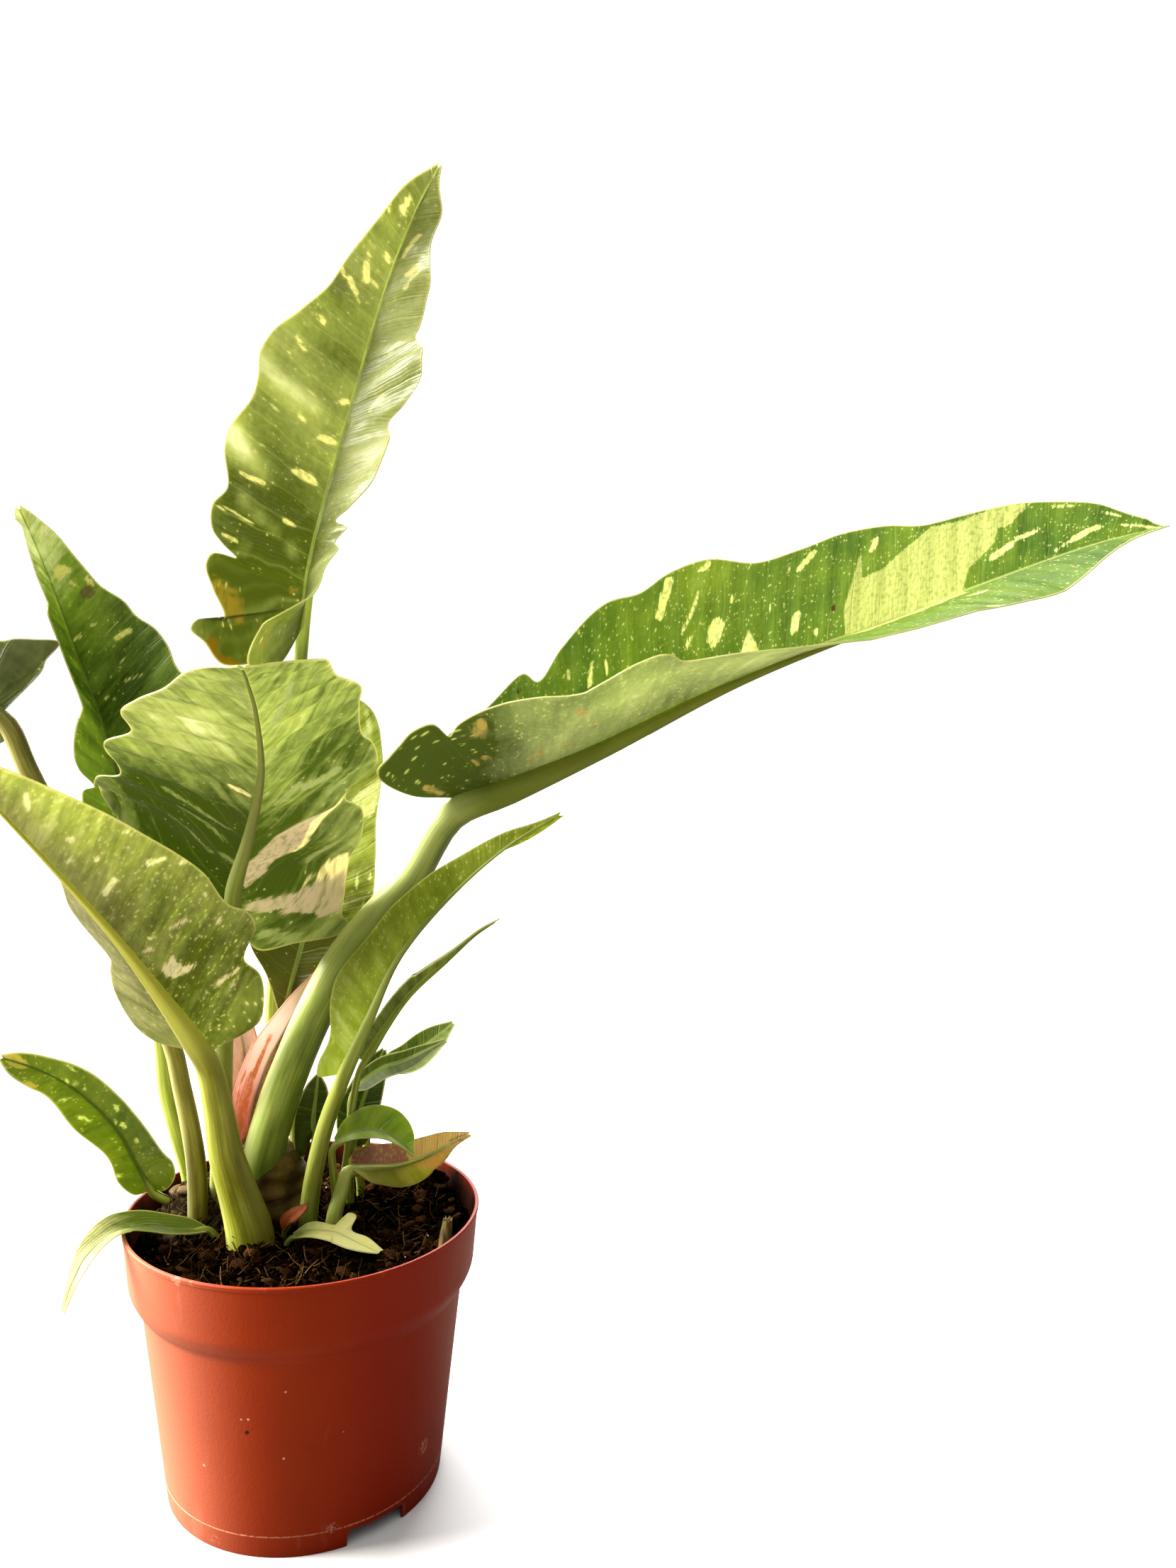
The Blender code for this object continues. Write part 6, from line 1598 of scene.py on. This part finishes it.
def scatter_build():
    """Geometry Nodes: copies of one shape strewn over a surface, turned and sized at random."""
    build = Build("strewn bits", Shape="NodeSocketObject", Density="NodeSocketFloat",
                  Smallest="NodeSocketFloat", Largest="NodeSocketFloat",
                  Upright="NodeSocketFloat", Sunk="NodeSocketFloat",
                  Seed="NodeSocketInt", Finish="NodeSocketMaterial")
    chosen = build.add("GeometryNodeInputNamedAttribute", {"data_type": "FLOAT"},
                       {"Name": "strewn"})
    spots = build.add("GeometryNodeDistributePointsOnFaces", {
        "distribute_method": "POISSON"}, {
        "Mesh": build.given("Geometry"), "Distance Min": BIT_SPACING * MM,
        "Density Max": build.given("Density"), "Density Factor": chosen,
        "Seed": build.given("Seed")})
    spots = build.add("GeometryNodeStoreNamedAttribute",
                      {"data_type": "FLOAT", "domain": "POINT"},
                      {"Geometry": spots, "Name": "shade", "Value": build.add(
                          "FunctionNodeRandomValue", {"data_type": "FLOAT"},
                          {"Seed": build.given("Seed")}, output=1)})
    lean = build.given("Upright")
    turn = build.add("FunctionNodeRandomValue", {"data_type": "FLOAT_VECTOR"}, {
        0: build.add("ShaderNodeCombineXYZ", inputs={0: 0.0 - lean, 1: 0.0 - lean, 2: 0.0}),
        1: build.add("ShaderNodeCombineXYZ", inputs={0: lean, 1: lean, 2: math.tau}),
        "Seed": build.given("Seed") + 1})
    size = build.add("FunctionNodeRandomValue", {"data_type": "FLOAT"}, {
        2: build.given("Smallest"), 3: build.given("Largest"),
        "Seed": build.given("Seed") + 2}, output=1)
    shape = build.add("GeometryNodeObjectInfo", {"transform_space": "ORIGINAL"},
                      {"Object": build.given("Shape"), "As Instance": True},
                      output="Geometry")
    bits = build.add("GeometryNodeInstanceOnPoints", inputs={
        "Points": spots, "Instance": shape, "Rotation": turn, "Scale": size})
    bits = build.add("GeometryNodeRealizeInstances", inputs={0: bits})
    bits = build.add("GeometryNodeSetPosition", inputs={
        "Geometry": bits, "Offset": build.add("ShaderNodeCombineXYZ", inputs={
            0: 0.0, 1: 0.0, 2: 0.0 - build.given("Sunk")})})
    build.end(build.add("GeometryNodeSetMaterial", inputs={
        "Geometry": bits, "Material": build.given("Finish")}))
    return build


def lump_shape(name, seed, flat, rough, sides=0):
    """Small broken lump, about one millimetre across, with few faces."""
    ball = bpy.data.meshes.new(name)
    made = bpy.data.objects.new(name, ball)
    shape = bmesh.new()
    if sides:
        bmesh.ops.create_uvsphere(shape, u_segments=sides, v_segments=sides - 2, radius=0.5)
        # Blender makes its faces in an order that varies from run to run, so they are sorted
        shape.verts.index_update()
        shape.faces.sort(key=lambda face: sum(2 ** vertex.index for vertex in face.verts))
    else:
        bmesh.ops.create_icosphere(shape, subdivisions=1, radius=0.54)
    source = np.random.default_rng(seed)
    for vertex in shape.verts:
        vertex.co *= 1.0 + rough * source.uniform(-1.0, 1.0)
        vertex.co.z *= flat
        vertex.co.x *= 1.25
        vertex.co *= MM
    shape.to_mesh(ball)
    shape.free()
    return made


def fibre_shape(name, seed, bend):
    """Thin bent strand of coir, about one millimetre long before it is sized."""
    sides = 3
    source = np.random.default_rng(seed)
    share = np.linspace(-0.5, 0.5, 9)
    wiggle = source.uniform(-1.0, 1.0, 4)
    line = np.stack([share, bend * (wiggle[0] * share ** 2 + wiggle[1] * share ** 3 * 2),
                     bend * (wiggle[2] * share ** 2 - 0.1) + 0.05], -1)
    forward = unit(np.gradient(line, axis=0))
    side = unit(np.cross(forward, (0.0, 0.0, 1.0)))
    up = np.cross(side, forward)
    thick = 0.022 * (1.0 - 0.6 * np.abs(share * 2) ** 2)
    points = []
    for i in range(sides):
        angle = math.tau * i / sides
        points.append(line + thick[:, None] * (side * math.cos(angle) + up * math.sin(angle)))
    points = np.stack(points, 1).reshape(-1, 3)
    last = len(points) - sides
    faces = [(0, 1, 2), (last, last + 2, last + 1)]
    faces += [(a, d, c, b) for a, b, c, d in ring_faces(sides, len(share))]
    made = make_object(name, points, faces)
    bpy.context.scene.collection.objects.unlink(made)
    return made


@dataclass
class Litter:
    """One kind of loose bits on the soil. Sizes and depths are in millimetres."""
    name: str
    shape: bpy.types.Object
    density: float      # most bits for each square metre
    least: float        # size of the smallest and the largest bit
    most: float
    lean: float         # radians that a bit may lean to each side
    sunk: float         # how far it is pressed into the soil
    finish: bpy.types.Material
    seed: int


def litter_kinds():
    """Crumbs, bark, coir strands and pale grit."""
    return [
        Litter("soil_crumbs", lump_shape("crumb", 3, 0.8, 0.22), 320000.0, 0.9, 3.4, 3.0, 0.2,
               crumb_finish("soil crumbs", (1, 1, 0), (30, 17, 7)), 1),
        Litter("bark_bits", lump_shape("bark", 8, 0.42, 0.3, 7), 26000.0, 3.0, 8.5, 0.7, 0.2,
               crumb_finish("bark bits", (6, 3, 1), (66, 40, 20)), 2),
        Litter("coir_strands", fibre_shape("strand", 4, 0.9), 42000.0, 7.0, 20.0, 0.5, -0.6,
               crumb_finish("coir strands", (16, 9, 3), (104, 74, 40)), 3),
        Litter("pale_grit", lump_shape("grit", 12, 0.7, 0.25), 5000.0, 0.7, 1.7, 3.0, -0.3,
               crumb_finish("pale grit", (120, 96, 66), (206, 190, 160)), 4),
    ]


def strewn_share(x, y, largest):
    """How thickly litter lies: none on the crown, at the wall or on the leaf on the soil."""
    off_crown = np.hypot((x - CROWN_CENTRE[0]) / 14.0, (y - CROWN_CENTRE[1]) / 16.0) - 0.8
    off_wall = (71.2 - largest * 0.55 - np.hypot(x, y)) / 1.5
    clear_x, clear_y, clear_radius = CLEAR_OF_LITTER
    off_leaf = (np.hypot(x - clear_x, y - clear_y) - clear_radius - largest / 4) / 2.0
    return (np.clip(off_crown, 0.0, 1.0) * np.clip(off_wall, 0.0, 1.0)
            * np.clip(off_leaf, 0.0, 1.0))


def make_litter():
    """All the loose bits that are strewn over the soil."""
    build = scatter_build()
    radii = (0.0, *np.linspace(2.0, LITTER_RADIUS, LITTER_RINGS))
    made = []
    for kind in litter_kinds():
        base = turned(kind.name, [(radius, 0.0) for radius in radii], LITTER_SIDES)
        points = points_of(base)
        x, y = points[:, 0], points[:, 1]
        points[:, 2] = soil_height(x, y)
        move_points(base, points)
        store(base, "strewn", strewn_share(x, y, kind.most))
        build.run(base, Shape=kind.shape, Density=kind.density, Smallest=kind.least,
                  Largest=kind.most, Upright=kind.lean, Sunk=kind.sunk * MM,
                  Seed=kind.seed, Finish=kind.finish)
        shade_round(base)
        made.append(base)
        bpy.data.objects.remove(kind.shape)
    return made


def make_crown():
    """Lumpy stem base with old leaf scars."""
    sides, levels = 96, 60
    points = []
    for share in np.linspace(0.0, 1.0, levels):
        swell = np.interp(share, *zip(*CROWN_SWELL))
        for i in range(sides):
            angle = math.tau * i / sides
            lump = 1.0 + 0.05 * math.sin(3 * angle + 11.9 * share)
            ring = 1.0 + 0.018 * math.sin(share * 34.0 + 1.3 * math.sin(angle + 0.6))
            wide = swell * lump * ring
            points.append((CROWN_CENTRE[0] + CROWN_HALF[0] * wide * math.cos(angle),
                           CROWN_CENTRE[1] + CROWN_HALF[1] * wide * math.sin(angle),
                           CROWN_BOTTOM + (CROWN_TOP - CROWN_BOTTOM) * share))
    points = np.array(points)
    out = unit((points - (*CROWN_CENTRE, 0.0)) * (1, 1, 0))
    points = points + out * (crumble(points, (9.0, 4.0), 9) * 0.7)[:, None]
    crown = stacked("crown_stem", points, sides)
    shade_round(crown)
    return crown


def crown_finish():
    """Greenish tan stem with brown scars and dry scales."""
    finish = Finish("crown bark")
    place = finish.object_place()
    rings = finish.noise(finish.stretched(place, (40.0, 40.0, 260.0)), 1.0, 4.0, 0.6)
    cloud = finish.noise(place, 80.0, 3.0)
    colour = finish.mix(cloud.ramp(0.35, 0.65), tone(60, 46, 12), tone(118, 96, 40))
    colour = finish.mix(rings.ramp(0.55, 0.7) * 0.8, colour, tone(34, 20, 8))
    return finish.close(colour, 0.75 + (cloud - 0.5) * 0.3, rings + cloud * 0.5, 0.0012,
                        Specular_IOR_Level=0.15)


def make_root():
    """Upright dead root stub with a torn end."""
    line = curve_through(ROOT_STUB, 24)
    sides = 20
    points = []
    for x, y, z, radius in line:
        for i in range(sides):
            angle = math.tau * i / sides
            reach = radius * (1.0 + 0.06 * math.sin(5 * angle + z * 0.4))
            points.append((x + reach * math.cos(angle), y + reach * math.sin(angle), z))
    points = np.array(points)
    start = len(points) - sides
    points[start:, 2] += 0.9 * np.sin(np.arange(sides) * 2.4)
    points = np.vstack([points, [line[-1][:3] - (0, 0, 1.4)]])
    torn = [(start + i, start + (i + 1) % sides, start + sides) for i in range(sides)]
    faces = [tuple(range(sides))[::-1]] + ring_faces(sides, len(line)) + torn
    root = make_object("dead_root", points, faces)
    shade_round(root, 50.0)
    return root


def root_finish():
    """Fibrous pale brown root."""
    finish = Finish("dead root")
    place = finish.object_place()
    fibre = finish.noise(finish.stretched(place, (700.0, 700.0, 70.0)), 1.0, 3.0)
    colour = finish.mix(fibre.ramp(0.35, 0.7), tone(92, 74, 28), tone(160, 138, 74))
    return finish.close(colour, 0.85 + (fibre - 0.5) * 0.1, fibre, 0.0006)


def place_piece(made, slot, *nodes, finish=None):
    """Give a piece its finish and its body, and hide the nodes that it stands for. Its slot is
    not used.
    """
    if finish is not None:
        made.data.materials.clear()
        made.data.materials.append(finish)
    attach(made, "root")
    if nodes:
        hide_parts(*nodes)


def look_along(thing, right, up, forward, place):
    """Turn a camera or light so that it looks forward from a place."""
    rows = np.stack([right, up, -forward, place], 1).tolist()
    thing.matrix_world = Matrix([*rows, (0.0, 0.0, 0.0, 1.0)])


def set_camera():
    """Camera at the photo's angle."""
    yaw, pitch, roll = CAMERA_YAW, CAMERA_PITCH, CAMERA_ROLL
    forward = np.array([math.sin(yaw) * math.cos(pitch), math.cos(yaw) * math.cos(pitch),
                        -math.sin(pitch)])
    right = np.array([math.cos(yaw), -math.sin(yaw), 0.0])
    up = np.cross(right, forward)
    data = bpy.data.cameras.new("camera")
    data.sensor_fit = "VERTICAL"
    data.sensor_height = SENSOR_HEIGHT
    data.lens = FOCAL_PIXELS / IMAGE_HEIGHT * SENSOR_HEIGHT
    data.clip_start = 0.02
    camera = add_object("camera", data)
    look_along(camera, math.cos(roll) * right + math.sin(roll) * up,
               math.cos(roll) * up - math.sin(roll) * right, forward, CAMERA_PLACE)
    bpy.context.scene.camera = camera


def add_light(name, way, power, spread, colour=(1.0, 1.0, 1.0)):
    """Even, soft light from far away in the given direction."""
    data = bpy.data.lights.new(name, "SUN")
    data.energy = power
    data.angle = math.radians(spread)
    data.color = colour
    forward = -unit(way)
    side = unit(np.cross(forward, (0.0, 0.0, 1.0)))
    look_along(add_object(name, data), side, np.cross(side, forward), forward,
               (0.0, 0.0, 1.0))


def set_studio():
    """Pale floor, white surroundings and soft lights.

    Floor and surroundings look near white to the camera and throw less light than that
    on the plant, so that its shaded sides stay dark.
    """
    floor = make_object("floor", [(-8000, -8000, 0), (8000, -8000, 0), (8000, 8000, 0),
                                  (-8000, 8000, 0)], [(0, 1, 2, 3)])
    finish = Finish("pale floor")
    cloud = finish.noise(finish.object_place(), 3.0)
    seen = finish.add("ShaderNodeLightPath", output="Is Camera Ray")
    pale = finish.mix(cloud, tone(246, 245, 243), tone(250, 249, 248))
    floor.data.materials.append(finish.close(
        finish.mix(seen, tone(120, 112, 100), pale), 0.8 + cloud * 0.1))
    world = bpy.data.worlds.new("studio")
    world.use_nodes = True
    air = Nodes(world.node_tree)
    seen = air.add("ShaderNodeLightPath", output="Is Camera Ray")
    air.add("ShaderNodeOutputWorld", inputs={"Surface": air.add(
        "ShaderNodeBackground", inputs={"Color": (1.0, 1.0, 1.0, 1.0),
                                        "Strength": seen * 0.88 + 0.22})})
    bpy.context.scene.world = world
    add_light("main light", (*LIGHT_SIDE, 0.56), 12.2, 36.0, (1.0, 0.98, 0.94))
    add_light("light through the leaves", (-0.3, 0.95, 0.5), 10.6, 90.0)
    add_light("light from above", (-0.1, -0.3, 1.0), 1.0, 70.0)
    bpy.context.scene.view_settings.view_transform = "Standard"


def main():
    """Build every piece."""
    set_camera()
    set_studio()
    stems = stem_build()
    for number, leaf in enumerate(LEAVES):
        grown = grow_leaf(leaf, SKINS[leaf.name], number * 17.0, stems)
        place_piece(grown, leaf.slot, leaf.name)
    pot = make_pot()
    place_piece(pot, "pot_terracotta", "pot", finish=pot_finish())
    darken_inside(pot)
    place_piece(make_soil_bed(), "soil_dark", "soil", finish=soil_finish())
    for litter in make_litter():
        place_piece(litter, "soil_dark")
    place_piece(make_crown(), "crown_bark", "stem_base", finish=crown_finish())
    place_piece(make_root(), "root", "root_stub", finish=root_finish())


main()
